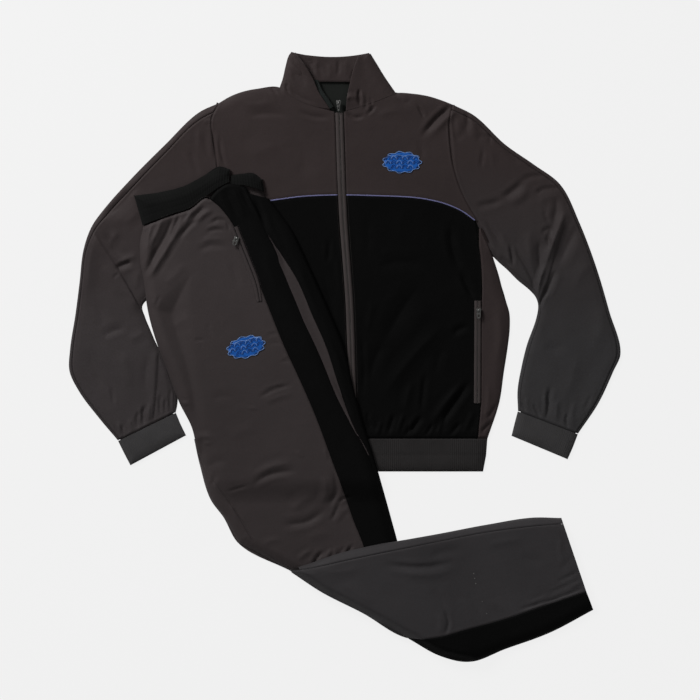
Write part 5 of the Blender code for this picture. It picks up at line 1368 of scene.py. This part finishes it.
# ---- trousers ------------------------------------------------------------------
left, inseam, parting, top_edge, right = (edge(LEG, c + "x", c + "y") for c in "ljgsr")
knee_l, knee_g, knee_r = (edge(KNEE, c + "x", c + "y") for c in "lgr")
LENS = np.array([0, 0, 0.3, 2.5, 9.0, 9.8, 9.2, 5.5, 1.0, 0.3, 0, 0, 0])   # how much of the lower leg's panel shows
gap_run = right - top_edge
unit = gap_run / (np.linalg.norm(gap_run, axis=1, keepdims=True) + 1e-9)
lens = top_edge + unit * LENS[:, None]
tucked = top_edge - unit * 3.5

LEG_LINES += [
    (fine_line(parting), 0.0007, 0.0012), (fine_line(inseam[8:]), 0.0008, 0.0012),
    (fine_edge(WAIST_SEAM, "x", "y"), 0.0014, 0.0020), (fine_edge(GATHER_SEAM, "x", "y"), 0.0014, 0.0020),
    (fine_edge(TURN, "ix", "iy"), 0.0008, 0.0012), (fine_edge(TURN, "gx", "gy", 3), 0.0007, 0.0012),
]


def trousers():
    a = np.concatenate([inseam, knee_l[:2]])
    b = np.concatenate([parting, knee_g[:2]])
    plan, _, _ = patch(a, b, first=edge(WAIST_SEAM, "x", "y"), fade=(1.0, 0.45, 0.15), span=(0, 13.6),
                       inset=(0, GAP, GAP, 0))
    obj = cloth("trouser_front", with_skirts(plan, leg_height(plan), {"a": 0.0030}), leg_cloth,
                nodes=["leg_front"], slot="charcoal_nylon")
    laid(obj, ["trouser_folds"], "folded")
    a = np.concatenate([parting, knee_g[:1]])
    b = np.concatenate([top_edge, knee_r[:1]])
    plan, _, _ = patch(a, b, first=edge(GATHER_SEAM, "x", "y"), fade=(1.0, 0.3), inset=(GAP, 0, GAP, 0))
    obj = cloth("trouser_stripe", with_skirts(plan, leg_height(plan), {"b": 0.0042}), black_side,
                nodes=["leg_stripe"], slot="black_nylon")
    laid(obj, ["trouser_folds"], "folded")
    plan, _, _ = patch(tucked, lens, span=(2.2, 9.0), inset=(0, GAP, 0, 0))
    obj = cloth("beneath_panel", to_metres(plan, leg_height(plan, False)), leg_cloth, nodes=["leg_beneath_panel"],
                slot="charcoal_nylon")
    laid(obj, ["trouser_folds"], "folded")
    a = lens.copy()
    a[:3], a[9:] = tucked[:3], tucked[9:]
    plan, _, _ = patch(a, right, span=(0.35, 12), inset=(GAP, 0, 0, 0))
    obj = cloth("beneath_stripe", with_skirts(plan, leg_height(plan, False), {"b": 0.0034}), black_side,
                nodes=["leg_beneath_stripe"], slot="black_nylon")
    laid(obj, ["trouser_folds"], "folded")
    a = np.concatenate([left, knee_l[:1]])
    b = np.concatenate([inseam, knee_l[:1] + (1.5, -1.0)])
    plan, _, _ = patch(a, b, span=(8.35, 12.97), inset=(0, GAP, 0, 0))
    obj = cloth("trouser_back_edge", with_skirts(plan, leg_height(plan), {"a": 0.0030}), leg_cloth,
                nodes=["leg_back_sliver"], slot="charcoal_nylon")
    laid(obj, ["trouser_folds"], "folded")


def turned():
    upper, seam, part, lower = (edge(TURN, c + "x", c + "y") for c in "tigb")
    plan, _, _ = patch(seam, part, inset=(GAP, GAP, 0, 0))
    obj = cloth("turned_panel", with_skirts(plan, turn_height(plan), {"b": 0.0036, "last": 0.0020}), turned_cloth,
                nodes=["turned_leg_panel"], slot="charcoal_nylon")
    laid(obj, ["turned_folds"], "folded")
    plan, _, _ = patch(upper, seam, span=(0.4, 8), inset=(0, GAP, 0, 0))
    obj = cloth("turned_edge", with_skirts(plan, turn_height(plan), {"a": 0.0036, "last": 0.0020}), turned_cloth,
                nodes=["turned_leg_sliver"], slot="charcoal_nylon")
    laid(obj, ["turned_folds"], "folded")
    plan, _, _ = patch(part, lower, span=(3.0, 8), inset=(GAP, 0, 0, 0))
    obj = cloth("turned_stripe", with_skirts(plan, turn_height(plan), {"b": 0.0040, "last": 0.0020}), black_side,
                nodes=["turned_leg_stripe"], slot="black_nylon")
    laid(obj, ["turned_folds"], "folded")


def waistbands():
    for name, table, on_top, node in (("waist_front", WAIST_FRONT, True, "waistband_front"),
                                      ("waist_behind", WAIST_BEHIND, False, "waistband_behind")):
        a, b = edge(table, "tx", "ty"), edge(table, "bx", "by")
        plan, shares, t = patch(a, b, 0.0013, inset=(0, GAP, 0, GAP))
        run = np.r_[0, np.cumsum(np.hypot(*np.diff(plan[:, len(shares) // 2], axis=0).T))][:, None] * GRID
        z = leg_base(plan, on_top) + 0.0006 + ribs(run + 0 * plan[..., 0], 0.0048, 0.0007, 5 + on_top)
        z = z + rounded(inside_depth(plan, LEG_OUTLINE), 0.0024, 0.0040) + 0.0006 * waves(plan, 14.0, 19)
        for share in (0.26, 0.5, 0.74):
            z = z - 0.00035 * np.exp(-(((shares[None] - share) / 0.025) ** 2))
        skirts = {"a": 0.0040, "first": 0.0030} if on_top else {"a": 0.0034, "last": 0.0030}
        obj = cloth(name, with_skirts(plan, z, skirts), rib_black, thick=0.0012, nodes=[node], slot="black_rib")
        laid(obj, ["trouser_folds"], "folded")


def layered(name, plan, top, bottom, stuff, node, layers=4, groove=0.0013):
    """The hidden layers of the folded cloth: one solid whose sides show each layer's rounded edge."""
    high, low = top(plan), bottom(plan)
    points = [to_metres(plan, high)]
    steps = np.arange(1, layers * 6)
    share = steps / (layers * 6)
    push = -groove * (1 - np.sqrt(np.clip(1 - (2 * ((share * layers) % 1) - 1) ** 2, 0, 1)))
    for side, za, zb in (("b", high[:, -1], low[:, -1]), ("a", low[:, 0], high[:, 0])):
        corner = plan[:, -1] if side == "b" else plan[:, 0]
        out = outward(plan, side)
        block = [to_metres(corner + out * (p / GRID), za + (zb - za) * s) for p, s in zip(push, share)]
        points.append(np.stack(block, axis=1))
        if side == "b":
            points.append(to_metres(plan[:, ::-1], low[:, ::-1]))
    grid = np.concatenate(points, axis=1)
    count = grid.shape[1]
    faces = quads(len(grid), count, True)
    if not facing(grid, None, slice(0, plan.shape[1])):
        faces = faces[:, ::-1]
        ends = [list(range(count)), [(len(grid) - 1) * count + k for k in range(count)][::-1]]
    else:
        ends = [list(range(count))[::-1], [(len(grid) - 1) * count + k for k in range(count)]]
    verts = grid.reshape(-1, 3)
    obj = mesh_piece(name, verts, faces.tolist() + ends, stuff)
    bm = bmesh.new()
    bm.from_mesh(obj.data)
    if bm.calc_volume(signed=True) < 0:
        bmesh.ops.reverse_faces(bm, faces=bm.faces)
    bm.to_mesh(obj.data)
    bm.free()
    finish_piece(obj, [node], "charcoal_nylon")
    return obj


def resampled(plan, each=5):
    t = np.linspace(0, len(plan) - 1, (len(plan) - 1) * each + 1)
    flat = plan.reshape(len(plan), -1)
    return through(flat, t).reshape(len(t), *plan.shape[1:])


def mix_rows(a, b, shares):
    s = np.asarray(shares)[None, :, None]
    return a[:, None] * (1 - s) + b[:, None] * s


def folded_layers():
    front, stripe = (0.0, 0.06, 0.18, 0.36, 0.56, 0.78, 1.0), (0.0, 0.25, 0.55, 0.82, 1.0)
    over, side = mix_rows(inseam, parting, front), mix_rows(parting, top_edge, stripe)
    cols_a = np.concatenate([over[:, 1:], mix_rows(knee_l, knee_g, front)[:, 1:]])
    cols_b = np.concatenate([side[:, 1:-1], mix_rows(knee_g, knee_r, stripe)[:, 1:-1]])
    step_in = np.concatenate([top_edge, knee_r])
    outer = np.concatenate([right, knee_r + (knee_r - knee_l) * 0.02])
    edge_l = np.concatenate([left, knee_l])
    hidden = np.concatenate([edge_l[:, None], cols_a, cols_b, (step_in - (outer - edge_l) * 0.02)[:, None],
                             mix_rows(step_in, outer, (0.16, 0.55, 1.0))], axis=1)

    def line(count, x0, y0, x1, y1):
        return np.stack([np.linspace(x0, x1, count), np.linspace(y0, y1, count)], axis=1)[None]

    band = np.concatenate([line(7, 141, 203, 206, 181), line(4, 211, 177, 240, 180), line(3, 243, 180, 258, 180)], axis=1)
    hidden = resampled(np.concatenate([band, hidden]))
    high = 11

    def top(p):
        on_top = np.arange(p.shape[1])[None, :] < high
        sink = np.interp(np.arange(len(p)) / 5, [0, 1, 2, 3], [0.004, 0.0035, 0.001, 0])[:, None]
        drop = 0.0024 + 0.0034 * roll(inside_depth(p, LEG_OUTLINE), 0.012) + sink
        return np.where(on_top, leg_base(p, True), leg_base(p, False)) - drop

    layered("trouser_folds", draw_in(hidden, 0.0016, 0.0016, 0.002, 0), top, leg_under, leg_cloth, "trousers_layers")

    upper, seam, part, lower = (edge(TURN, c + "x", c + "y") for c in "tigb")
    front, stripe = (0.0, 0.1, 0.26, 0.46, 0.68, 0.88, 1.0), (0.0, 0.5, 0.85, 1.0)
    middle = mix_rows(seam, part, front)
    inner = part.copy()
    inner[:4] = mix_rows(seam, part, (0.95,))[:4, 0]
    plan = np.concatenate([upper[:, None], middle[:, :-1], mix_rows(inner, lower, stripe)], axis=1)[1:]
    plan = resampled(plan)

    def turned_top(p):
        depth = inside_depth(p, TURN_OUTLINE)
        z = turn_under(p) + LEG_EDGE + TURN_PUFF * roll(depth, LEG_ROLL)
        sink = np.interp(np.arange(len(p)) / 5, [0, 3, 4], [0.0026, 0.0026, 0.0])[:, None] * (np.arange(p.shape[1]) > 6)
        return z - 0.0024 - 0.0028 * roll(depth, 0.012) - sink

    layered("turned_folds", draw_in(plan, 0.0016, 0.0016, 0, 0.003), turned_top, turn_under, turned_cloth,
            "turned_layers")


# ---- emblems -------------------------------------------------------------------
def emblem(name, centre, half_long, half_short, tilt, height, node):
    """A generic embroidered motif: satin-stitched oval with scale arcs and a scalloped edge."""
    turn = math.radians(tilt)

    def plan_of(u, v):
        return np.stack([centre[0] + u * math.cos(turn) + v * math.sin(turn),
                         centre[1] - u * math.sin(turn) + v * math.cos(turn)], axis=-1)

    def z_of(p):
        return height(p)

    angles = np.linspace(0, 2 * math.pi, 221)
    reach = 1 + 0.07 * np.cos(11 * angles)
    # satin ground: threads run along u, one ridge for each thread
    count_v, count_u = 103, 21
    v = np.linspace(-1, 1, count_v)[:, None]
    u = np.linspace(-1, 1, count_u)[None]
    wide = np.sqrt(np.clip(1 - v**2, 0, 1)) * 0.96 + 0.01
    plan = plan_of(u * wide * half_long, v * half_short * 0.96 + 0 * u)
    ridge = 0.00012 * np.abs(np.sin(math.pi * v * (count_v - 1) / 2 / 3.0))
    border = np.clip((1 - np.maximum(np.abs(u) * 1.0, np.abs(v))) / 0.12, 0, 1)
    z = z_of(plan) + 0.0007 + ridge + 0.0004 * smooth(border)
    ground = cloth(f"{name}_ground", to_metres(plan, z), blue, thick=0.0007, nodes=[node], slot="blue_thread")

    def thread(label, u_line, v_line, radius, stuff, lift=0.0011):
        plan = plan_of(np.asarray(u_line) * half_long, np.asarray(v_line) * half_short)
        obj = tube(f"{name}_{label}", to_metres(plan, z_of(plan) + lift), radius, stuff, 6, 0.8, slot="blue_thread")
        obj.name

    thread("rim", reach * np.cos(angles), -reach * np.sin(angles), 0.00062, pale_blue, 0.0009)
    # rows of scale arcs
    arc = np.linspace(0, math.pi, 15)
    number = 0
    for row, (v0, count, shift) in enumerate(((0.62, 4, 0.0), (0.18, 6, 0.5), (-0.26, 6, 0.0))):
        for k in range(count):
            u0 = (k - (count - 1) / 2 + (0.5 if shift else 0) * 0) * 0.30
            for size, stuff, radius in ((0.145, pale_blue if (k + row) % 2 else deep_blue, 0.00045), (0.085, deep_blue, 0.00038)):
                if abs(u0) + size > math.sqrt(max(0.05, 1 - v0 * v0)):
                    continue
                number += 1
                thread(f"scale_{number}", u0 + size * np.cos(arc), v0 - size * 2.4 * np.sin(arc), radius, stuff, 0.0014)
    thread("bar", np.linspace(-0.72, 0.72, 30), -0.66 + 0.05 * np.sin(np.linspace(0, 14, 30)), 0.0005, pale_blue, 0.0013)


# ---- zip hardware --------------------------------------------------------------
def plate(name, outline, holes, thick, bevel, place, turn, material, body, nodes=(), lift=0.0):
    """A flat cast plate with rounded rims: outline and holes are closed lists of points in metres."""
    curve = bpy.data.curves.new(name, "CURVE")
    curve.dimensions = "2D"
    curve.fill_mode = "BOTH"
    curve.extrude = thick / 2 - bevel
    curve.bevel_depth = bevel
    curve.bevel_resolution = 2
    curve.offset = -bevel
    for ring in (outline, *holes):
        spline = curve.splines.new("POLY")
        spline.points.add(len(ring) - 1)
        for point, (x, y) in zip(spline.points, ring):
            point.co = (x, y, 0, 1)
        spline.use_cyclic_u = True
    temp = bpy.data.objects.new(name + "_curve", curve)
    bpy.context.scene.collection.objects.link(temp)
    bpy.context.view_layer.update()
    mesh = bpy.data.meshes.new_from_object(temp.evaluated_get(bpy.context.evaluated_depsgraph_get()))
    bpy.data.objects.remove(temp)
    bm = bmesh.new()
    bm.from_mesh(mesh)
    bmesh.ops.remove_doubles(bm, verts=bm.verts, dist=1e-6)
    bmesh.ops.rotate(bm, verts=bm.verts, cent=(0, 0, 0), matrix=Matrix.Rotation(turn, 3, "Z"))
    bmesh.ops.translate(bm, verts=bm.verts, vec=Vector(place) + Vector((0, 0, lift)))
    bm.to_mesh(mesh)
    bm.free()
    mesh.materials.clear()
    mesh.materials.append(material)
    mesh.shade_smooth()
    mesh.set_sharp_from_angle(angle=math.radians(50))
    mesh.name = name
    obj = bpy.data.objects.new(name, mesh)
    bpy.context.scene.collection.objects.link(obj)
    return finish_piece(obj, nodes, "zip_metal", body)


def ring_points(points, each=5):
    """A closed smooth ring through points."""
    points = np.array(points, float)
    ring = np.concatenate([points[-2:], points, points[:3]])
    return through(ring, np.linspace(2, len(points) + 2, len(points) * each + 1)[:-1])


def rounded_box(name, size, centre, bevel, place, turn, material, body, **more):
    bm = bmesh.new()
    bmesh.ops.create_cube(bm, size=1.0)
    bmesh.ops.scale(bm, vec=size, verts=bm.verts)
    bmesh.ops.bevel(bm, geom=list(bm.edges), offset=bevel, segments=3, affect="EDGES", profile=0.5)
    bmesh.ops.translate(bm, verts=bm.verts, vec=centre)
    bmesh.ops.rotate(bm, verts=bm.verts, cent=(0, 0, 0), matrix=Matrix.Rotation(turn, 3, "Z"))
    bmesh.ops.translate(bm, verts=bm.verts, vec=place)
    mesh = bpy.data.meshes.new(name)
    bm.to_mesh(mesh)
    bm.free()
    mesh.materials.append(material)
    mesh.shade_smooth()
    obj = bpy.data.objects.new(name, mesh)
    bpy.context.scene.collection.objects.link(obj)
    return finish_piece(obj, (), "zip_metal", body)


def hardware():
    for key, x, y, base, lift, turn, width, length, tab in (
        ("front", 338.6, 103.5, "body", 0.0012, -0.03, 0.0085, 0.0100, (0.0135, 0.0052, 0.30)),
        ("pocket", 478.5, 310.5, "body", 0.0020, -0.02, 0.0088, 0.0070, (0.0135, 0.0072, 0.42)),
        ("leg_pocket", 237.0, 239.0, "leg", 0.0020, -0.35, 0.0088, 0.0064, (0.0125, 0.0080, 0.42)),
    ):
        low, high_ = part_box(f"{key}_slider")
        p = np.array([[x, y]], float)
        place = to_metres(p, np.array([low[2]]))[0]
        w, l = width / 2, length / 2
        # top plate: two shoulders with a notch between them, narrower at the pull end
        shape = [(-0.95 * w, 0.75 * l), (-0.62 * w, 1.05 * l), (-0.22 * w, 0.98 * l), (0, 0.62 * l), (0.22 * w, 0.98 * l),
                 (0.62 * w, 1.05 * l), (0.95 * w, 0.75 * l), (0.9 * w, 0.0), (0.62 * w, -0.8 * l), (0.4 * w, -1.02 * l),
                 (-0.4 * w, -1.02 * l), (-0.62 * w, -0.8 * l), (-0.9 * w, 0.0)]
        body_name = f"{key}_slider_top"
        plate(body_name, ring_points(shape), [], 0.0009, 0.0003, place, turn, metal, "tracksuit",
              [f"{key}_slider"], 0.0018)
        plate(f"{key}_slider_base", ring_points([(a * 0.93, b * 0.95) for a, b in shape]), [], 0.0008, 0.00025, place,
              turn, metal, "tracksuit", (), 0.0004)
        rounded_box(f"{key}_slider_post", (width * 0.42, length * 0.42, 0.0012), (0, 0.1 * length, 0.0011), 0.0003,
                    place, turn, metal, "tracksuit")
        # bridge: a flat bar bent over the pull's bar
        arch = [(0.0030, 0.0018), (0.0029, 0.0030), (0.0022, 0.0041), (0.0, 0.0046), (-0.0022, 0.0041), (-0.0029, 0.0030), (-0.0030, 0.0018)]
        arch = [(y_ * min(1.0, length / 0.0066), z_) for y_, z_ in arch]
        line = through(np.array(arch), np.linspace(0, 6, 25))
        c, s = math.cos(turn), math.sin(turn)
        points = np.stack([-line[:, 0] * s, line[:, 0] * c, line[:, 1]], axis=1) + place
        run = np.gradient(points, axis=0)
        run /= np.linalg.norm(run, axis=1, keepdims=True)
        across_ = np.array([c, s, 0.0])
        up = np.cross(across_, run)
        up *= np.sign(up[len(up) // 2, 2]) or 1
        rings = np.stack([points + across_ * dx + up * dz for dx, dz in
                          ((-0.0009, -0.0003), (-0.0011, 0), (-0.0009, 0.0003), (0.0009, 0.0003), (0.0011, 0), (0.0009, -0.0003))], axis=1)
        faces = quads(len(rings), 6, True).tolist() + [[5, 4, 3, 2, 1, 0], [(len(rings) - 1) * 6 + k for k in range(6)]]
        joined(f"{key}_slider_bridge", rings, faces, metal, slot="zip_metal")
        # pull tab, turning on its bar under the bridge
        low, high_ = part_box(f"{key}_pull")
        tab_length, tab_width, tip = tab
        tw = tab_width / 2
        centre = Vector(place) + Vector((0, 0, 0))
        centre.z = (low[2] + high_[2]) / 2
        outer = [(-tw * 0.82, 0.0007), (0, 0.00095), (tw * 0.82, 0.0007), (tw, -0.10 * tab_length), (tw * 0.98, -0.35 * tab_length),
                 (tip * tab_width * 1.05, -0.82 * tab_length), (tip * tab_width * 0.62, -0.99 * tab_length),
                 (0, -1.03 * tab_length),
                 (-tip * tab_width * 0.62, -0.99 * tab_length), (-tip * tab_width * 1.05, -0.82 * tab_length),
                 (-tw * 0.98, -0.35 * tab_length), (-tw, -0.10 * tab_length)]
        eye_w, eye_l = min(tw * 0.62, 0.0015), 0.0030
        eye = [(-eye_w, -0.0011), (0, -0.0009), (eye_w, -0.0011), (eye_w, -0.0011 - eye_l * 0.7), (0, -0.0011 - eye_l * 0.85), (-eye_w, -0.0011 - eye_l * 0.7)]
        slot_w = min(tip, 0.42) * tab_width * 0.36
        slot_ = [(-slot_w, -0.55 * tab_length), (0, -0.51 * tab_length), (slot_w, -0.55 * tab_length), (slot_w, -0.82 * tab_length),
                 (0, -0.87 * tab_length), (-slot_w, -0.82 * tab_length)]
        plate(f"{key}_tab_plate", ring_points(outer), [ring_points(eye), ring_points(slot_)], 0.0012, 0.0003, centre, turn,
              metal, f"{key}_tab", [f"{key}_pull"])


# ---- stitching -----------------------------------------------------------------
def offset_line(line, by):
    """A line moved sideways by metres."""
    line = evenly(np.asarray(line, float), 0.004)
    run = np.gradient(line, axis=0)
    normal = np.stack([-run[:, 1], run[:, 0]], axis=1)
    normal /= np.linalg.norm(normal, axis=1, keepdims=True) + 1e-9
    return line + normal * (by / GRID)


def stitching():
    band = np.stack([np.linspace(359, 486, 60), np.full(60, 436.9)], axis=1)
    dashes("stitches_body", [
        offset_line(fine_line(zip_a[1:-1]), 0.0022), offset_line(fine_line(zip_b[1:-1]), -0.0022),
        offset_line(fine_line(zip_a[:2]), 0.0022), offset_line(fine_line(zip_b[:2]), -0.0022),
    ], [jacket_height] * 4, stitch_grey, slot="charcoal_nylon")
    dashes("stitches_panels", [
        offset_line(fine_line(pipe_l), 0.0030), offset_line(fine_line(pipe_r), 0.0030),
        offset_line(fine_edge(LOWER_RIGHT, "bx", "by"), 0.0020), band,
    ], [jacket_height] * 4, stitch_black, slot="black_nylon")
    dashes("stitches_armholes", [offset_line(fine_line(arm_l), 0.0024), offset_line(fine_line(arm_r), -0.0024),
                                 offset_line(fine_edge(SLEEVE_RIGHT, "ax", "ay", 0.5, 10), 0.0) + (-6, 4)][:2],
           [jacket_height] * 2, stitch_grey, slot="charcoal_nylon")
    dashes("stitches_legs", [
        offset_line(fine_line(parting[:-1]), 0.0022), offset_line(fine_line(inseam[8:]), -0.0022),
        offset_line(fine_edge(POCKET_LEG, "ax", "ay"), 0.0014), offset_line(fine_edge(POCKET_LEG, "bx", "by"), -0.0014),
        offset_line(fine_edge(WAIST_SEAM, "x", "y", 0.2), -0.0030),
    ], [leg_height] * 5, stitch_grey, slot="charcoal_nylon")
    dashes("stitches_turned", [
        offset_line(fine_edge(TURN, "ix", "iy", 0.6, 7.9), 0.0022), offset_line(fine_edge(TURN, "gx", "gy", 3.1, 7.9), -0.0022),
        np.array([[556.5, 525.0], [579.0, 593.0]]),
    ], [turn_height] * 3, stitch_grey, slot="charcoal_nylon")


def tack_stitches():
    """A few loose tack stitches left on the turned leg."""
    at = np.array([[473.5, 573], [474.5, 578], [475.5, 583], [482, 601], [486.5, 613]])
    points = to_metres(at, turn_height(at) + 0.0003)
    verts, faces = [], []
    for k, c in enumerate(points):
        start = len(verts)
        long = 0.0011 if k < 3 else 0.0008
        for step, r in ((-1, 0.15), (-0.5, 1.0), (0.5, 1.0), (1, 0.15)):
            for a in np.linspace(0, 2 * math.pi, 7)[:-1]:
                verts.append((c[0] + 0.00045 * r * math.cos(a), c[1] + long * step, c[2] + 0.0003 * r * math.sin(a)))
        faces += (quads(4, 6, True) + start).tolist()
        faces += [[start + j for j in range(6)][::-1], [start + 18 + j for j in range(6)]]
    joined("tack_stitches", verts, faces, threads("tack_thread", (0.24, 0.24, 0.23)), slot="charcoal_nylon")


# ---- put together --------------------------------------------------------------
back_panel()
jacket_panels()
piping()
sleeve("left", SLEEVE_LEFT, arm_l, sleeve_cloth_l)
sleeve("right", SLEEVE_RIGHT, arm_r, sleeve_cloth_r)
cuff("left", CUFF_LEFT)
cuff("right", CUFF_RIGHT)
hem()
collar()
zips()
folded_layers()
trousers()
turned()
waistbands()
emblem("motif_chest", (402, 162.5), 18.5, 10.2, 0, jacket_height, "emblem_chest")
emblem("motif_thigh", (246.5, 347), 18.5, 10.2, 14, leg_height, "emblem_thigh")
hardware()
stitching()
tack_stitches()


def measured(obj):
    """Area of one layer of a shell, from its own mesh without its wall."""
    mesh = obj.data
    area = np.zeros(len(mesh.polygons))
    mesh.polygons.foreach_get("area", area)
    return float(area.sum())


for name, (obj, rests_on, held, with_pieces) in LAID.items():
    # the area of each shell and a rectangle that it lies in are worked out here; nothing uses them
    area = measured(obj)
    co = np.array([v.co for v in obj.data.vertices])[:, :2]
    size = co.max(0) - co.min(0)
    width, length = float(size[0]), float(size[1])
    while area > width * length:
        width *= 1.1
    while area < 0.32 * width * length:
        width *= 0.95

# ---- floor, light and camera -----------------------------------------------------
def floor():
    mesh = bpy.data.meshes.new("floor")
    mesh.from_pydata([(-6, -6, -0.0002), (6, -6, -0.0002), (6, 6, -0.0002), (-6, 6, -0.0002)], [], [(0, 1, 2, 3)])
    tree = Tree("floor_pale")
    tree.done(Roughness=0.9, Specular__IOR__Level=0.0)
    tree.shader.inputs["Base Color"].default_value = (0.06, 0.06, 0.06, 1)
    tree.shader.inputs["Emission Color"].default_value = (1.0, 1.0, 1.0, 1)
    tree.shader.inputs["Emission Strength"].default_value = 0.835
    mesh.materials.append(tree.material)
    obj = bpy.data.objects.new("floor", mesh)
    bpy.context.scene.collection.objects.link(obj)


floor()
scene = bpy.context.scene
scene.view_settings.view_transform = "Standard"
scene.view_settings.look = "None"
world = bpy.data.worlds.new("studio")
scene.world = world
world.use_nodes = True
world.node_tree.nodes["Background"].inputs["Color"].default_value = (1.0, 1.0, 1.0, 1)
world.node_tree.nodes["Background"].inputs["Strength"].default_value = 0.17


def area_light(name, place, aim, size, energy, colour=(1, 1, 1)):
    light = bpy.data.lights.new(name, "AREA")
    light.shape = "RECTANGLE"
    light.size, light.size_y = size
    light.energy = energy
    light.color = colour
    obj = bpy.data.objects.new(name, light)
    obj.location = place
    obj.rotation_euler = (Vector(aim) - Vector(place)).to_track_quat("-Z", "Y").to_euler()
    scene.collection.objects.link(obj)


area_light("key", (-2.2, 2.4, 2.0), (0, 0, 0), (1.2, 1.2), 132.0)
area_light("fill", (1.6, -1.2, 3.0), (0, 0, 0), (2.5, 2.5), 12.0)

camera_data = bpy.data.cameras.new("camera")
camera_data.sensor_width = 36.0
distance = 6.0
camera_data.lens = 36.0 * distance / (700 * GRID)
camera_data.clip_end = 50
camera = bpy.data.objects.new("camera", camera_data)
camera.location = ((350 - GRID_X0) * GRID, (GRID_Y0 - 350) * GRID, distance)
camera.rotation_euler = (0, 0, 0)
scene.collection.objects.link(camera)
scene.camera = camera
